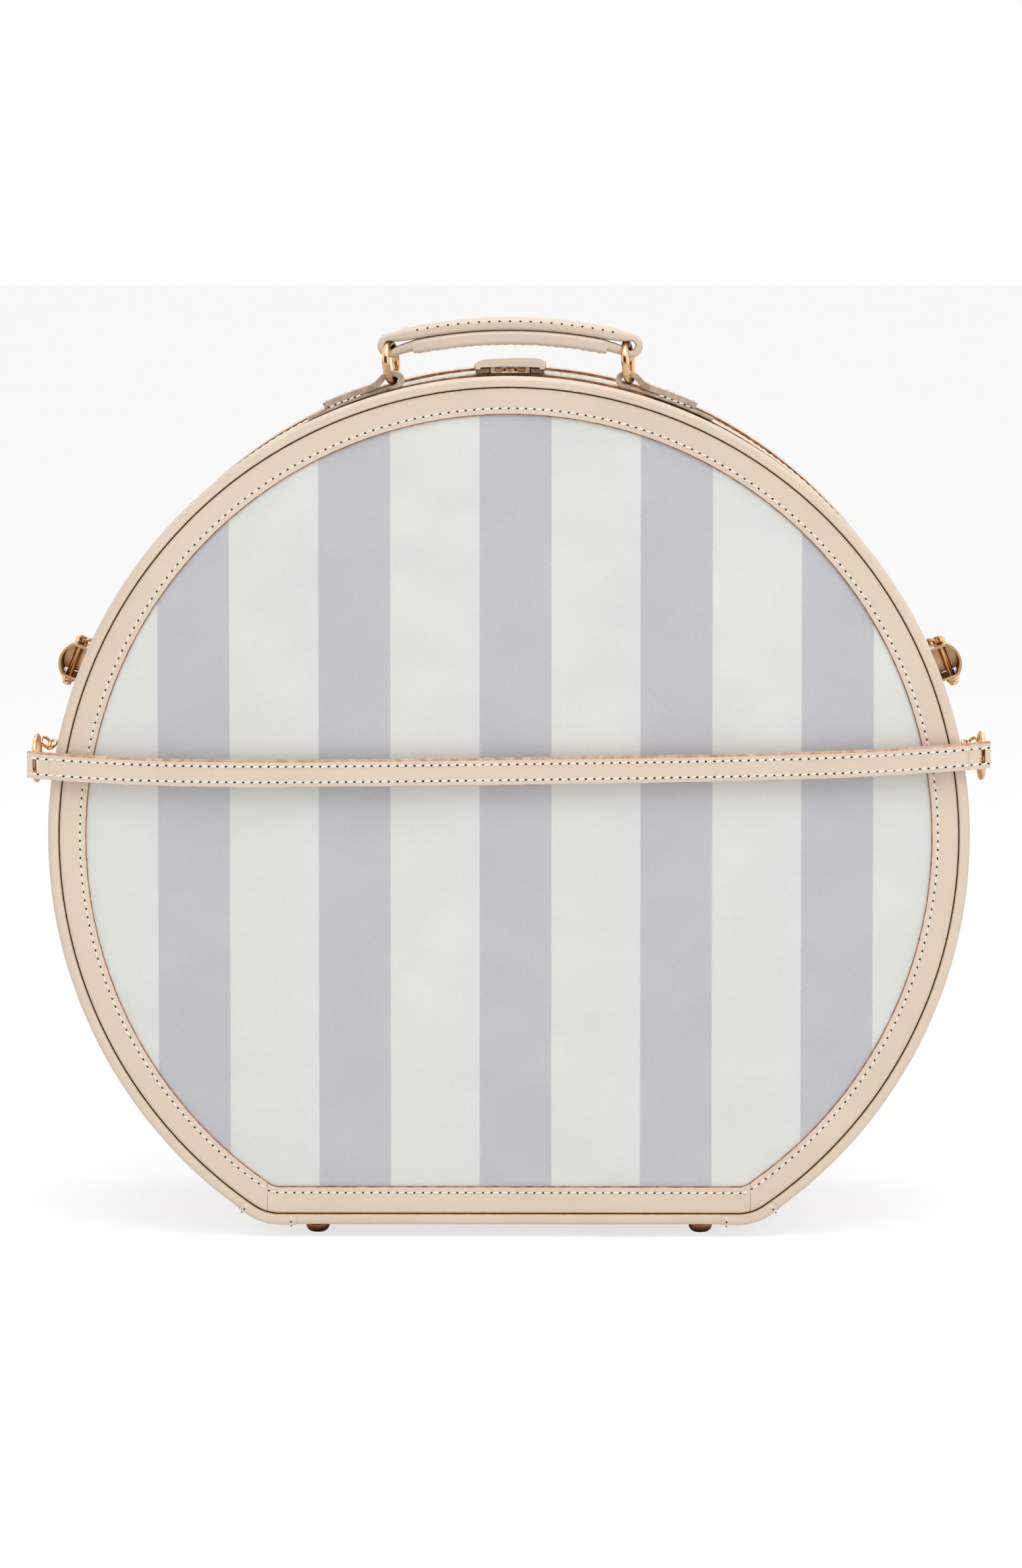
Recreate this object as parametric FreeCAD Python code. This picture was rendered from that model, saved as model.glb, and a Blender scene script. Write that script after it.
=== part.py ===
import FreeCAD, Part
import os
from math import asin, cos, degrees, radians, sin, sqrt

# Round travel hat box with a flat foot: a base shell and a hinged lid shell, bound in leather.
# Everything is modelled in case coordinates, in millimetres: the origin is the centre of the
# round case on the seam plane, +Z is up, the lid is at +Y and the base at -Y.
# The last step moves every piece to the row frame, whose origin is on the floor.

Vector = FreeCAD.Vector
UP = Vector(0, 0, 1)
ALONG_X = Vector(1, 0, 0)
ALONG_Y = Vector(0, 1, 0)
ORIGIN = Vector(0, 0, 0)

# ---- driving dimensions ----
CASE_R = 215.0          # outside radius over the edge welt
FLAT_DROP = 181.5       # case centre to the outside of the flat foot
HALF_DEPTH = 108.0      # seam to either outer face
CORNER_R = 26.0         # rounding where the flat meets the round
FOOT_H = 6.0            # feet below the welt
STRAP_REACH = 5.6       # carry strap behind the back face

# ---- layers of the round wall, as insets from the outside of the welt ----
BINDING_TOP = 0.8
BAND_TOP = 2.0
WALL_TOP = 2.5
WALL_BOTTOM = 6.5
LINING_BOTTOM = 7.1
LIP_FREE_TOP = 8.3
LIP_BOTTOM = 10.5

# ---- layers of the flat faces, as distances from the seam ----
SEAM_GAP = 0.2
BINDING_W = 24.0
WALL_END = 101.9
PANEL_END = 104.9
FABRIC_END = 105.4
TRIM_END = 106.9
LIP_BASE_W = 16.0
LIP_REACH = 6.0

# ---- face trim and welt ----
GROOVE = 0.2
WELT_W = 5.0
WELT_ROUND = 2.3
TRIM_INNER = 17.9
TRIM_SPLIT_X = 113.0
TRIM_SPLIT_Z = -150.0
SLEEVE_X = 99.7
SLEEVE_ANGLE = 54.0
SLEEVE_PROUD = 0.3

# ---- feet and hinges ----
FOOT_X = 90.0
FOOT_DEPTH = 86.0
FOOT_R = 5.5
FOOT_SOLE_R = 2.4
FOOT_RIM_H = 3.6
FOOT_NECK_R = 3.6
FOOT_NECK_H = 4.8
FOOT_SCREW_R = 1.5
FOOT_SCREW_COVER = 0.6
HINGE_X = 55.0
HINGE_LENGTH = 40.0
LEAF_T = 1.0
LEAF_W = 16.0
KNUCKLES = 5
KNUCKLE_R = 2.4
KNUCKLE_GAP = 0.15
KNUCKLE_CLEAR = 0.4
HINGE_PIN_R = 1.0
PIN_HEAD_R = 1.7
PIN_HEAD_T = 0.8
PIN_HEAD_GAP = 0.1
RUNNING = 0.05
RIVET_R = 1.0
RIVET_HEAD_R = 2.2
RIVET_HEAD_H = 1.0
RIVET_DEPTH = 4.2
HINGE_RIVET_X = 13.0
HINGE_RIVET_Y = -11.0

# ---- carry handle ----
HANDLE_Y = -20.0
RING_X = 56.0
RING_WIRE_R = 1.9
RING_R = 8.9
RING_Z = 219.4
TAB_LEATHER = 2.5
TAB_LOOP_R = 4.7
TAB_LOOP_W = 10.0
TAB_W = 18.0
TAB_END_X = 96.0
TAB_OPEN_X = 69.0
TAB_NOSE_X = 52.0
TAB_WEB_ANGLE = 56.0
STRAP_TOP_R = 240.7
STRAP_UNDER_R = 234.4
GRIP_TOP_R = 234.1
GRIP_UNDER_R = 226.9
GRIP_ANGLE = 11.4
STRAP_ANGLE = 13.6
GRIP_W = 18.0
FOLD_X = 57.2
FOLD_Z = 227.2
FOLD_R = 5.8
FOLD_W = 11.0
RETURN_ANGLE = 11.7
RETURN_LOW_R = 230.1
RETURN_HIGH_R = 233.6
HOLE_CLEAR = 0.3

# ---- closure tab and press lock ----
LOCK_HALF_X = 9.2
LOCK_BACK = -8.0
LOCK_FRONT = -26.0
LOCK_TOP = 217.2
LOCK_CHEEK = 2.0
LOCK_SHEET = 0.7
LOCK_ROOF_SET_IN = 1.0
BUTTON_GAP = 0.2
BUTTON_PROUD = 0.9
BUTTON_DEPTH = 6.1
BUTTON_RECESS_HALF_X = 3.9
BUTTON_RECESS = 3.0
BUTTON_BOSS_R = 3.1
TAB_HALF_X = 17.0
CLOSURE_UNDER = 217.4
CLOSURE_TOP = 220.8
CLOSURE_FREE_Y = -27.0
CLOSURE_FLEX_Y = 5.0
CLOSURE_FLEX_GAP = 1.2
CLOSURE_ROOT_Y = 17.0
CLOSURE_HEM = 2.6
CLOSURE_HEM_GAP = 0.4
CLOSURE_EDGE_R = 1.4
ROOT_T = 1.8
ROOT_HALF_X = 15.0
TAB_RIVET_X = 9.0
TAB_RIVET_Y = 12.0
STUD_Y = -16.0
STUD_R = 2.2
STUD_IN_LOCK = 1.9
STUD_IN_TAB = 0.3
STUD_HOLE_GAP = 0.5

# ---- side latches, in their own frame: X outwards from the band, Z around it ----
LATCH_ANGLE = 20.5
PIVOT_Y = -5.0
PIVOT_H = 9.0
LATCH_PIN_R = 1.2
BAR_Y = -12.0
BAR_H = 8.8
BAR_R = 1.6
KNOB_R = 2.3
KNOB_T = 2.2
CAP_R = 1.9
CAP_T = 1.0
BAR_END_GAP = 0.25
LEVER_HALF_W = 8.2
LEVER_SHEET = 1.0
EAR_T = 1.0
EAR_GAP = 0.1
EAR_R = 2.0
PLATE_T = 1.0
PLATE_BACK = -23.0
PLATE_FRONT = -1.5
PLATE_HALF_W = 11.0
PLATE_RIVET_Y = -19.5
PLATE_RIVET_Z = 4.4
CATCH_BACK = 2.5
CATCH_FRONT = 21.0
CATCH_HALF_W = 8.5
CATCH_RIVET_Y = 17.5
CATCH_LIP_HALF_W = 6.5
CATCH_LIP_T = 1.3
CATCH_LIP_OVER = 1.8
CATCH_LIP_GAP = 0.6
LEVER_BACK = -30.0
LEVER_NOSE = -2.0
LEVER_LOW = 3.2
LEVER_SHOULDER = 11.5
LEVER_CROWN = 15.5
NOSE_LOW = 4.0
NOSE_ARCH = 12.4
LOOP_HALF_W = 9.7
LOOP_WIRE_R = 0.9
LOOP_BEAD_R = 1.2
LOOP_EYE_R = 3.1
LOOP_EYE_HALF_T = 1.05
HOOK_Y = 11.2
HOOK_H = 5.0

# ---- carry strap and its rings ----
STRAP_ANCHOR_Z = 36.5
STRAP_RING_X = 220.3
STRAP_RING_R = 10.35
STRAP_RING_WIRE_R = 1.2
STRAP_RING_SET_IN = 2.6
STRAP_W = 12.4
STRAP_T = 2.6
STRAP_END_X = 224.0
STRAP_FOLD_X = 214.6
STRAP_FOLD_T = 5.8
STRAP_SAG = 4.0
STRAP_SLOT_HALF_X = 1.2
STRAP_SLOT_HALF_Z = 4.3
STRAP_CORNER_R = 2.0
EYE_R = 3.4
EYE_WIRE_R = 1.1
EYE_SET_IN = 0.4
EYE_PLATE_HALF_L = 8.0
EYE_PLATE_HALF_W = 6.0
EYE_PLATE_T = 1.2
EYE_RIVET_Y = 5.4

CENTRE_Z = FLAT_DROP + FOOT_H
SEAM_Y = (STRAP_REACH - SLEEVE_PROUD) / 2
LEAF_TOP = BINDING_TOP - FLAT_DROP
HINGE_Z = LEAF_TOP - LEAF_T - HINGE_PIN_R - 0.6
BAND_R = CASE_R - BAND_TOP
BINDING_R = CASE_R - BINDING_TOP
BINDING_CLEAR = 0.1
STRAP_Y = -HALF_DEPTH - STRAP_REACH
STRAP_RING_Y = STRAP_Y + STRAP_RING_SET_IN + STRAP_RING_R
EYE_Y = STRAP_RING_Y + STRAP_RING_R

parts = {}


# ---------- small helpers ----------
def box(x0, x1, y0, y1, z0, z1):
    return Part.makeBox(x1 - x0, y1 - y0, z1 - z0, Vector(x0, y0, z0))


def rod(radius, start, axis, length):
    return Part.makeCylinder(radius, length, start, axis)


def polygon(points, y0, y1):
    """Prism along Y from a list of (x, z) points."""
    corners = [Vector(x, y0, z) for x, z in points]
    wire = Part.makePolygon(corners + corners[:1])
    return Part.Face(wire).extrude(ALONG_Y * (y1 - y0))


def polar(radius, degrees_from_top):
    angle = radians(degrees_from_top)
    return (radius * sin(angle), radius * cos(angle))


def sector(r_out, r_in, start, end, y0, y1):
    """Piece of a ring about the case axis; angles are in degrees from the top, towards +X."""
    def point(radius, angle):
        x, z = polar(radius, angle)
        return Vector(x, y0, z)

    middle = (start + end) / 2
    edges = [
        Part.Arc(point(r_out, start), point(r_out, middle), point(r_out, end)).toShape(),
        Part.LineSegment(point(r_out, end), point(r_in, end)).toShape(),
        Part.Arc(point(r_in, end), point(r_in, middle), point(r_in, start)).toShape(),
        Part.LineSegment(point(r_in, start), point(r_out, start)).toShape(),
    ]
    return Part.Face(Part.Wire(edges)).extrude(ALONG_Y * (y1 - y0))


def group(shapes):
    return Part.makeCompound(shapes)


def fuse(first, *others):
    return first.multiFuse(list(others)).removeSplitter()


def cut(shape, *tools):
    return shape.cut(list(tools))


def mirror_x(shape):
    return shape.mirror(ORIGIN, ALONG_X)


def mirror_y(shape):
    return shape.mirror(ORIGIN, ALONG_Y)


def both_sides(shape):
    return group([shape, mirror_x(shape)])


def angle_at(x, radius):
    """Degrees from the top at which a circle about the case axis reaches x."""
    return degrees(asin(x / radius))


def rivet_dome(base, outward):
    """Domed rivet head standing on a surface at `base`."""
    ball_r = (RIVET_HEAD_R ** 2 + RIVET_HEAD_H ** 2) / (2 * RIVET_HEAD_H)
    ball = Part.makeSphere(ball_r, base + outward * (RIVET_HEAD_H - ball_r))
    return ball.common(rod(RIVET_HEAD_R + 1, base, outward, RIVET_HEAD_H + 1))


# ---------- outline of the case ----------
def outline(inset, y):
    """Face across the case, with its edge moved inwards by inset: a circle with a flat foot."""
    radius = CASE_R - inset
    drop = FLAT_DROP - inset
    corner = max(CORNER_R - inset, 3.0)
    corner_x = sqrt((radius - corner) ** 2 - (drop - corner) ** 2)
    centre = Vector(corner_x, y, corner - drop)
    outward = Vector(corner_x, 0, corner - drop).normalize()
    on_circle = Vector(outward.x * radius, y, outward.z * radius)
    on_flat = Vector(corner_x, y, -drop)
    between = centre + (outward - UP).normalize() * corner

    def left(point):
        return Vector(-point.x, point.y, point.z)

    edges = [
        Part.Arc(left(on_circle), Vector(0, y, radius), on_circle).toShape(),
        Part.Arc(on_circle, between, on_flat).toShape(),
        Part.LineSegment(on_flat, left(on_flat)).toShape(),
        Part.Arc(left(on_flat), left(between), left(on_circle)).toShape(),
    ]
    return Part.Face(Part.Wire(edges))


def slab(inset, near, far):
    """Case-shaped slab on the base side, between two distances from the seam."""
    return outline(inset, -far).extrude(ALONG_Y * (far - near))


def ring(outer, inner, near, far):
    """Case-shaped ring on the base side."""
    return cut(slab(outer, near, far), slab(inner, near, far))


# ---------- shells: built on the base side, mirrored for the lid ----------
def wall():
    return ring(WALL_TOP, WALL_BOTTOM, SEAM_GAP, WALL_END)


def panel():
    return slab(WELT_W + GROOVE, WALL_END, PANEL_END)


def band_fabric():
    return ring(BAND_TOP, WALL_TOP, SEAM_GAP, WALL_END)


def face_fabric():
    return slab(WELT_W + GROOVE, PANEL_END, FABRIC_END)


def lining():
    tube = ring(WALL_BOTTOM, LINING_BOTTOM, SEAM_GAP, WALL_END)
    floor = slab(LINING_BOTTOM, WALL_END - (LINING_BOTTOM - WALL_BOTTOM), WALL_END)
    return fuse(tube, floor)


def seam_binding():
    return ring(BINDING_TOP, BAND_TOP, SEAM_GAP, BINDING_W)


def trim_ring():
    return ring(WELT_W + GROOVE, TRIM_INNER, FABRIC_END, TRIM_END)


def trim_foot_zone():
    """Space that holds the straight strip of face trim along the flat foot."""
    return box(-TRIM_SPLIT_X, TRIM_SPLIT_X, -HALF_DEPTH, 0, -CASE_R, TRIM_SPLIT_Z)


def trim_arc():
    return cut(trim_ring(), trim_foot_zone())


def trim_foot():
    return trim_ring().common(trim_foot_zone())


def welt_ring(proud):
    """Rounded leather cord along the edge of the face."""
    cord = ring(-proud, WELT_W, WALL_END, HALF_DEPTH + proud)
    outer_edges = []
    for edge in cord.Edges:
        middle = edge.valueAt((edge.FirstParameter + edge.LastParameter) / 2)
        end = edge.valueAt(edge.FirstParameter)
        along_y = abs(middle.y - end.y) > 1e-6
        reach = max(sqrt(middle.x ** 2 + middle.z ** 2), sqrt(end.x ** 2 + end.z ** 2))
        outside = reach > CASE_R - 1 or middle.z < 1 - FLAT_DROP
        if outside and not along_y:
            outer_edges.append(edge)
    return cord.makeFillet(WELT_ROUND, outer_edges)


def sleeve_zone():
    """Space around the right-hand foot corner, where a sleeve covers the joint in the welt."""
    inner = polar(CASE_R - 25, 90 + SLEEVE_ANGLE)
    outer = polar(CASE_R + 20, 90 + SLEEVE_ANGLE)
    low = -FLAT_DROP - 20
    points = [(SLEEVE_X, low), (SLEEVE_X, inner[1]), inner, outer, (outer[0], low)]
    return polygon(points, -HALF_DEPTH - 5, 0)


def welt_arc():
    upper = box(-CASE_R - 5, CASE_R + 5, -HALF_DEPTH - 5, 0, TRIM_SPLIT_Z, CASE_R + 5)
    side = polygon([(SLEEVE_X, TRIM_SPLIT_Z), (CASE_R, TRIM_SPLIT_Z), (CASE_R, -CASE_R),
                    (SLEEVE_X, -CASE_R)], -HALF_DEPTH - 5, 0)
    space = fuse(upper, side, mirror_x(side))
    space = cut(space, sleeve_zone(), mirror_x(sleeve_zone()))
    return max(welt_ring(0).common(space).Solids, key=lambda solid: solid.Volume)


def welt_foot():
    space = box(-SLEEVE_X, SLEEVE_X, -HALF_DEPTH - 5, 0, -CASE_R, TRIM_SPLIT_Z)
    return welt_ring(0).common(space)


def welt_sleeves():
    return both_sides(welt_ring(SLEEVE_PROUD).common(sleeve_zone()))


def register_lip():
    """Inner ring on the base that stands into the lid and lines the two shells up."""
    fixed = ring(LINING_BOTTOM, LIP_BOTTOM, SEAM_GAP, LIP_BASE_W)
    free = mirror_y(ring(LIP_FREE_TOP, LIP_BOTTOM, 0, LIP_REACH))
    bridge = ring(LIP_FREE_TOP, LIP_BOTTOM, 0, 2 * SEAM_GAP)
    return fuse(fixed, bridge, free)


def feet():
    """Two domed feet, each with its screw standing up into the wall."""
    ground = -FLAT_DROP - FOOT_H
    band = BAND_TOP - FLAT_DROP
    screw_top = WALL_BOTTOM - FLAT_DROP - FOOT_SCREW_COVER
    rim = Vector(FOOT_R, 0, ground + FOOT_RIM_H)
    sole = Vector(FOOT_SOLE_R, 0, ground)
    bulge = Vector(FOOT_R - 0.8, 0, ground + 0.36 * FOOT_RIM_H)
    outline_points = [rim, Vector(FOOT_NECK_R, 0, ground + FOOT_NECK_H), Vector(FOOT_NECK_R, 0, band),
                      Vector(FOOT_SCREW_R, 0, band), Vector(FOOT_SCREW_R, 0, screw_top),
                      Vector(0, 0, screw_top), Vector(0, 0, ground), sole]
    edges = [Part.LineSegment(a, b).toShape() for a, b in zip(outline_points, outline_points[1:])]
    edges.append(Part.Arc(sole, bulge, rim).toShape())
    foot = Part.Face(Part.Wire(edges)).revolve(ORIGIN, UP, 360)
    foot.translate(Vector(FOOT_X, -FOOT_DEPTH, 0))
    return both_sides(foot)


# ---------- hinges ----------
def knuckle_spans():
    """(start, end) along X of each knuckle of one hinge, from its centre."""
    pitch = HINGE_LENGTH / KNUCKLES
    starts = [-HINGE_LENGTH / 2 + pitch * i for i in range(KNUCKLES)]
    return [(start + KNUCKLE_GAP, start + pitch - KNUCKLE_GAP) for start in starts]


def rivet_places():
    """(x, y) of the rivets in one base leaf, from the hinge's centre."""
    return [(x, HINGE_RIVET_Y) for x in (-HINGE_RIVET_X, 0.0, HINGE_RIVET_X)]


def hinge_leaf(first):
    """Leaf on the base side with every second knuckle, starting at number first."""
    half = HINGE_LENGTH / 2
    under = LEAF_TOP - LEAF_T
    clear_y = -KNUCKLE_R - KNUCKLE_CLEAR
    leaf = box(-half, half, -LEAF_W, clear_y, under, LEAF_TOP)
    bits = []
    for start, end in knuckle_spans()[first::2]:
        bits.append(box(start, end, clear_y, -SEAM_GAP, under, LEAF_TOP - 0.2))
        bits.append(rod(KNUCKLE_R, Vector(start, 0, HINGE_Z), ALONG_X, end - start))
    leaf = fuse(leaf, *bits)
    bore = rod(HINGE_PIN_R + RUNNING, Vector(-half, 0, HINGE_Z), ALONG_X, HINGE_LENGTH)
    holes = [rod(RIVET_R, Vector(x, y, under), UP, LEAF_T) for x, y in rivet_places()]
    return cut(leaf, bore, *holes)


def hinge_pair(shape):
    left = shape.copy()
    left.translate(ALONG_X * -HINGE_X)
    right = shape.copy()
    right.translate(ALONG_X * HINGE_X)
    return group([left, right])


def hinge_pin():
    half = HINGE_LENGTH / 2
    head_x = half + PIN_HEAD_GAP
    shaft = rod(HINGE_PIN_R, Vector(-head_x, 0, HINGE_Z), ALONG_X, 2 * head_x)
    heads = [rod(PIN_HEAD_R, Vector(x, 0, HINGE_Z), ALONG_X, PIN_HEAD_T)
             for x in (-head_x - PIN_HEAD_T, head_x)]
    return fuse(shaft, *heads)


def hinge_rivets():
    """Rivets through one base leaf into the wall."""
    under = LEAF_TOP - LEAF_T
    rivets = []
    for x, y in rivet_places():
        seat = Vector(x, y, under)
        shank = rod(RIVET_R, seat, UP, LEAF_T + RIVET_DEPTH)
        rivets.append(fuse(shank, rivet_dome(seat, -UP)))
    return hinge_pair(group(rivets))


# ---------- carry handle ----------
def ring_torus(clearance):
    centre = Vector(RING_X, HANDLE_Y, RING_Z)
    return Part.makeTorus(RING_R, RING_WIRE_R + clearance, centre, ALONG_X)


def handle_tab():
    """Right-hand leather tab: one strip folded round the ring and sewn flat on the band."""
    r_low = BINDING_R + BINDING_CLEAR
    r_mid = r_low + TAB_LEATHER
    r_top = r_mid + TAB_LEATHER
    loop_z = RING_Z - RING_R
    start = angle_at(TAB_NOSE_X, r_low)
    opening = angle_at(TAB_OPEN_X, r_mid)
    end = angle_at(TAB_END_X, r_mid)
    wide = (HANDLE_Y - TAB_W / 2, HANDLE_Y + TAB_W / 2)
    narrow = (HANDLE_Y - TAB_LOOP_W / 2, HANDLE_Y + TAB_LOOP_W / 2)
    lower = sector(r_mid, r_low, opening, end, *wide)
    lower_nose = sector(r_mid, r_low, start, opening, *narrow)
    upper = sector(r_top, r_mid, opening, end, *wide)
    loop = rod(TAB_LOOP_R, Vector(RING_X, narrow[0], loop_z), ALONG_Y, TAB_LOOP_W)

    def on_loop(radius):
        turn = radians(TAB_WEB_ANGLE)
        return (RING_X + radius * cos(turn), loop_z + radius * sin(turn))

    web = polygon([on_loop(TAB_LOOP_R), polar(r_top, opening), polar(r_mid, opening),
                   on_loop(TAB_LOOP_R - TAB_LEATHER)], *narrow)
    tab = fuse(lower, lower_nose, upper, loop, web)
    inside = rod(r_low, Vector(0, HANDLE_Y - TAB_W, 0), ALONG_Y, 2 * TAB_W)
    return cut(tab, ring_torus(HOLE_CLEAR), inside)


def handle_strap():
    """Padded leather strap over the grip, with both ends folded round the rings."""
    half_w = GRIP_W / 2
    half_fold = FOLD_W / 2
    narrow = (HANDLE_Y - half_fold, HANDLE_Y + half_fold)
    crown = sector(STRAP_TOP_R, STRAP_UNDER_R, -GRIP_ANGLE, GRIP_ANGLE,
                   HANDLE_Y - half_w, HANDLE_Y + half_w)
    arm = sector(STRAP_TOP_R, STRAP_UNDER_R, GRIP_ANGLE, STRAP_ANGLE, *narrow)
    fold = rod(FOLD_R, Vector(FOLD_X, narrow[0], FOLD_Z), ALONG_Y, FOLD_W)
    under = polygon([polar(RETURN_HIGH_R, RETURN_ANGLE), polar(RETURN_LOW_R, RETURN_ANGLE),
                     (FOLD_X, FOLD_Z - FOLD_R), (FOLD_X, FOLD_Z)], *narrow)
    end = cut(fuse(arm, fold, under), ring_torus(HOLE_CLEAR))
    end = max(end.Solids, key=lambda solid: solid.Volume)
    return fuse(crown, end, mirror_x(end))


def handle_grip():
    half_w = GRIP_W / 2
    grip = sector(GRIP_TOP_R, GRIP_UNDER_R, -GRIP_ANGLE, GRIP_ANGLE,
                  HANDLE_Y - half_w, HANDLE_Y + half_w)
    long_edges = [edge for edge in grip.Edges if edge.Length > 60]
    return grip.makeFillet(3.0, long_edges)


# ---------- closure tab and press lock ----------
def closure_tab():
    """Leather tab from the lid over the lock, with its sides turned down."""
    near = CLOSURE_FREE_Y
    far = CLOSURE_FLEX_Y - CLOSURE_FLEX_GAP
    edge = angle_at(TAB_HALF_X, CLOSURE_UNDER)
    hem = angle_at(TAB_HALF_X - CLOSURE_HEM, CLOSURE_UNDER)
    top = sector(CLOSURE_TOP, CLOSURE_UNDER, -edge, edge, near, far)
    side = sector(CLOSURE_UNDER, BINDING_R + CLOSURE_HEM_GAP, hem, edge, near, far)
    tab = fuse(top, side, mirror_x(side))
    full_length = far - near - 1
    outer = [e for e in tab.Edges
             if e.BoundBox.YLength > full_length and e.BoundBox.ZMin > CLOSURE_UNDER + 1]
    return tab.makeFillet(CLOSURE_EDGE_R, outer)


def closure_root():
    edge = angle_at(ROOT_HALF_X, BINDING_R)
    low = BINDING_R + BINDING_CLEAR
    start = CLOSURE_FLEX_Y - CLOSURE_FLEX_GAP / 2
    return cut(sector(low + ROOT_T, low, -edge, edge, start, CLOSURE_ROOT_Y), tab_rivet_shanks())


def tab_rivet_shanks():
    low = BINDING_R - RIVET_DEPTH - 1
    high = BINDING_R + 2 * ROOT_T
    return group([rod(RIVET_R, Vector(x, TAB_RIVET_Y, low), UP, high - low)
                  for x in (-TAB_RIVET_X, TAB_RIVET_X)])


def tab_rivets():
    """Two domed rivets that hold the root of the closure tab to the lid."""
    rivets = []
    seat_z = BINDING_R + BINDING_CLEAR + ROOT_T
    low = BINDING_R - RIVET_DEPTH
    for x in (-TAB_RIVET_X, TAB_RIVET_X):
        shank = rod(RIVET_R, Vector(x, TAB_RIVET_Y, low), UP, seat_z - low)
        rivets.append(fuse(shank, rivet_dome(Vector(x, TAB_RIVET_Y, seat_z), UP)))
    return group(rivets)


def closure_stud():
    low = LOCK_TOP - STUD_IN_LOCK
    high = CLOSURE_UNDER + STUD_IN_TAB
    return cut(rod(STUD_R, Vector(0, STUD_Y, low), UP, high - low), closure_tab())


def lock_body():
    """Press lock on the base: floor, two cheeks, a back and a top plate with the stud's hole."""
    low = BINDING_R + BINDING_CLEAR
    inner = LOCK_HALF_X - LOCK_CHEEK
    floor = box(-LOCK_HALF_X, LOCK_HALF_X, LOCK_FRONT, LOCK_BACK, low, low + LOCK_SHEET)
    right = box(inner, LOCK_HALF_X, LOCK_FRONT, LOCK_BACK, low, LOCK_TOP)
    back = box(-inner, inner, LOCK_BACK - LOCK_CHEEK, LOCK_BACK, low, LOCK_TOP)
    roof_front = LOCK_FRONT + LOCK_ROOF_SET_IN
    roof = box(-inner, inner, roof_front, LOCK_BACK, LOCK_TOP - LOCK_SHEET, LOCK_TOP)
    hole = rod(STUD_R + STUD_HOLE_GAP, Vector(0, STUD_Y, LOCK_TOP - LOCK_SHEET), UP, LOCK_SHEET)
    return cut(fuse(floor, right, mirror_x(right), back, roof), hole)


def lock_button():
    """Sliding button with a rounded boss in a recess between two blocks."""
    low = BINDING_R + BINDING_CLEAR + LOCK_SHEET + 0.1
    high = LOCK_TOP - LOCK_SHEET - 0.1
    half = LOCK_HALF_X - LOCK_CHEEK - BUTTON_GAP
    front = LOCK_FRONT - BUTTON_PROUD
    button = box(-half, half, front, front + BUTTON_DEPTH, low, high)
    recess = box(-BUTTON_RECESS_HALF_X, BUTTON_RECESS_HALF_X, front - 1, front + BUTTON_RECESS,
                 low - 1, high + 1)
    boss = rod(BUTTON_BOSS_R, Vector(0, front + BUTTON_BOSS_R + 0.5, low), UP, high - low)
    return fuse(cut(button, recess), boss)


# ---------- side latches ----------
def place_latch(shape):
    """From the latch's own frame to the right-hand side of the case."""
    shape.translate(Vector(BAND_R, 0, 0))
    shape.rotate(ORIGIN, ALONG_Y, -LATCH_ANGLE)
    return shape


def band_skin():
    """Depth of the seam binding over the band, where latch plates sit."""
    return BAND_TOP - BINDING_TOP + BINDING_CLEAR


def latch_plate():
    """Riveted plate on the base with two ears that carry the lever's pivot."""
    low = band_skin()
    top = low + PLATE_T
    plate = box(low, top, PLATE_BACK, PLATE_FRONT, -PLATE_HALF_W, PLATE_HALF_W)
    ear_out = LEVER_HALF_W - LEVER_SHEET - EAR_GAP
    bits = [rivet_dome(Vector(top, PLATE_RIVET_Y, z), ALONG_X) for z in (-PLATE_RIVET_Z, PLATE_RIVET_Z)]
    for z in (-ear_out, ear_out - EAR_T):
        bits.append(box(top - 0.5, PIVOT_H, PIVOT_Y - EAR_R, PIVOT_Y + EAR_R, z, z + EAR_T))
        bits.append(rod(EAR_R, Vector(PIVOT_H, PIVOT_Y, z), UP, EAR_T))
    bore = rod(LATCH_PIN_R + RUNNING, Vector(PIVOT_H, PIVOT_Y, -PLATE_HALF_W), UP, 2 * PLATE_HALF_W)
    return cut(fuse(plate, *bits), bore)


def latch_pivot():
    reach = LEVER_HALF_W + 0.05
    return rod(LATCH_PIN_R, Vector(PIVOT_H, PIVOT_Y, -reach), UP, 2 * reach)


def lever_section(half_w, low, shoulder, crown, y0, y1):
    """Prism along Y whose cross-section is open towards the band and crowned outside."""
    a = Vector(low, y0, -half_w)
    b = Vector(shoulder, y0, -half_w)
    c = Vector(crown, y0, 0)
    d = Vector(shoulder, y0, half_w)
    e = Vector(low, y0, half_w)
    edges = [
        Part.LineSegment(a, b).toShape(),
        Part.Arc(b, c, d).toShape(),
        Part.LineSegment(d, e).toShape(),
        Part.LineSegment(e, a).toShape(),
    ]
    return Part.Face(Part.Wire(edges)).extrude(ALONG_Y * (y1 - y0))


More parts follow.
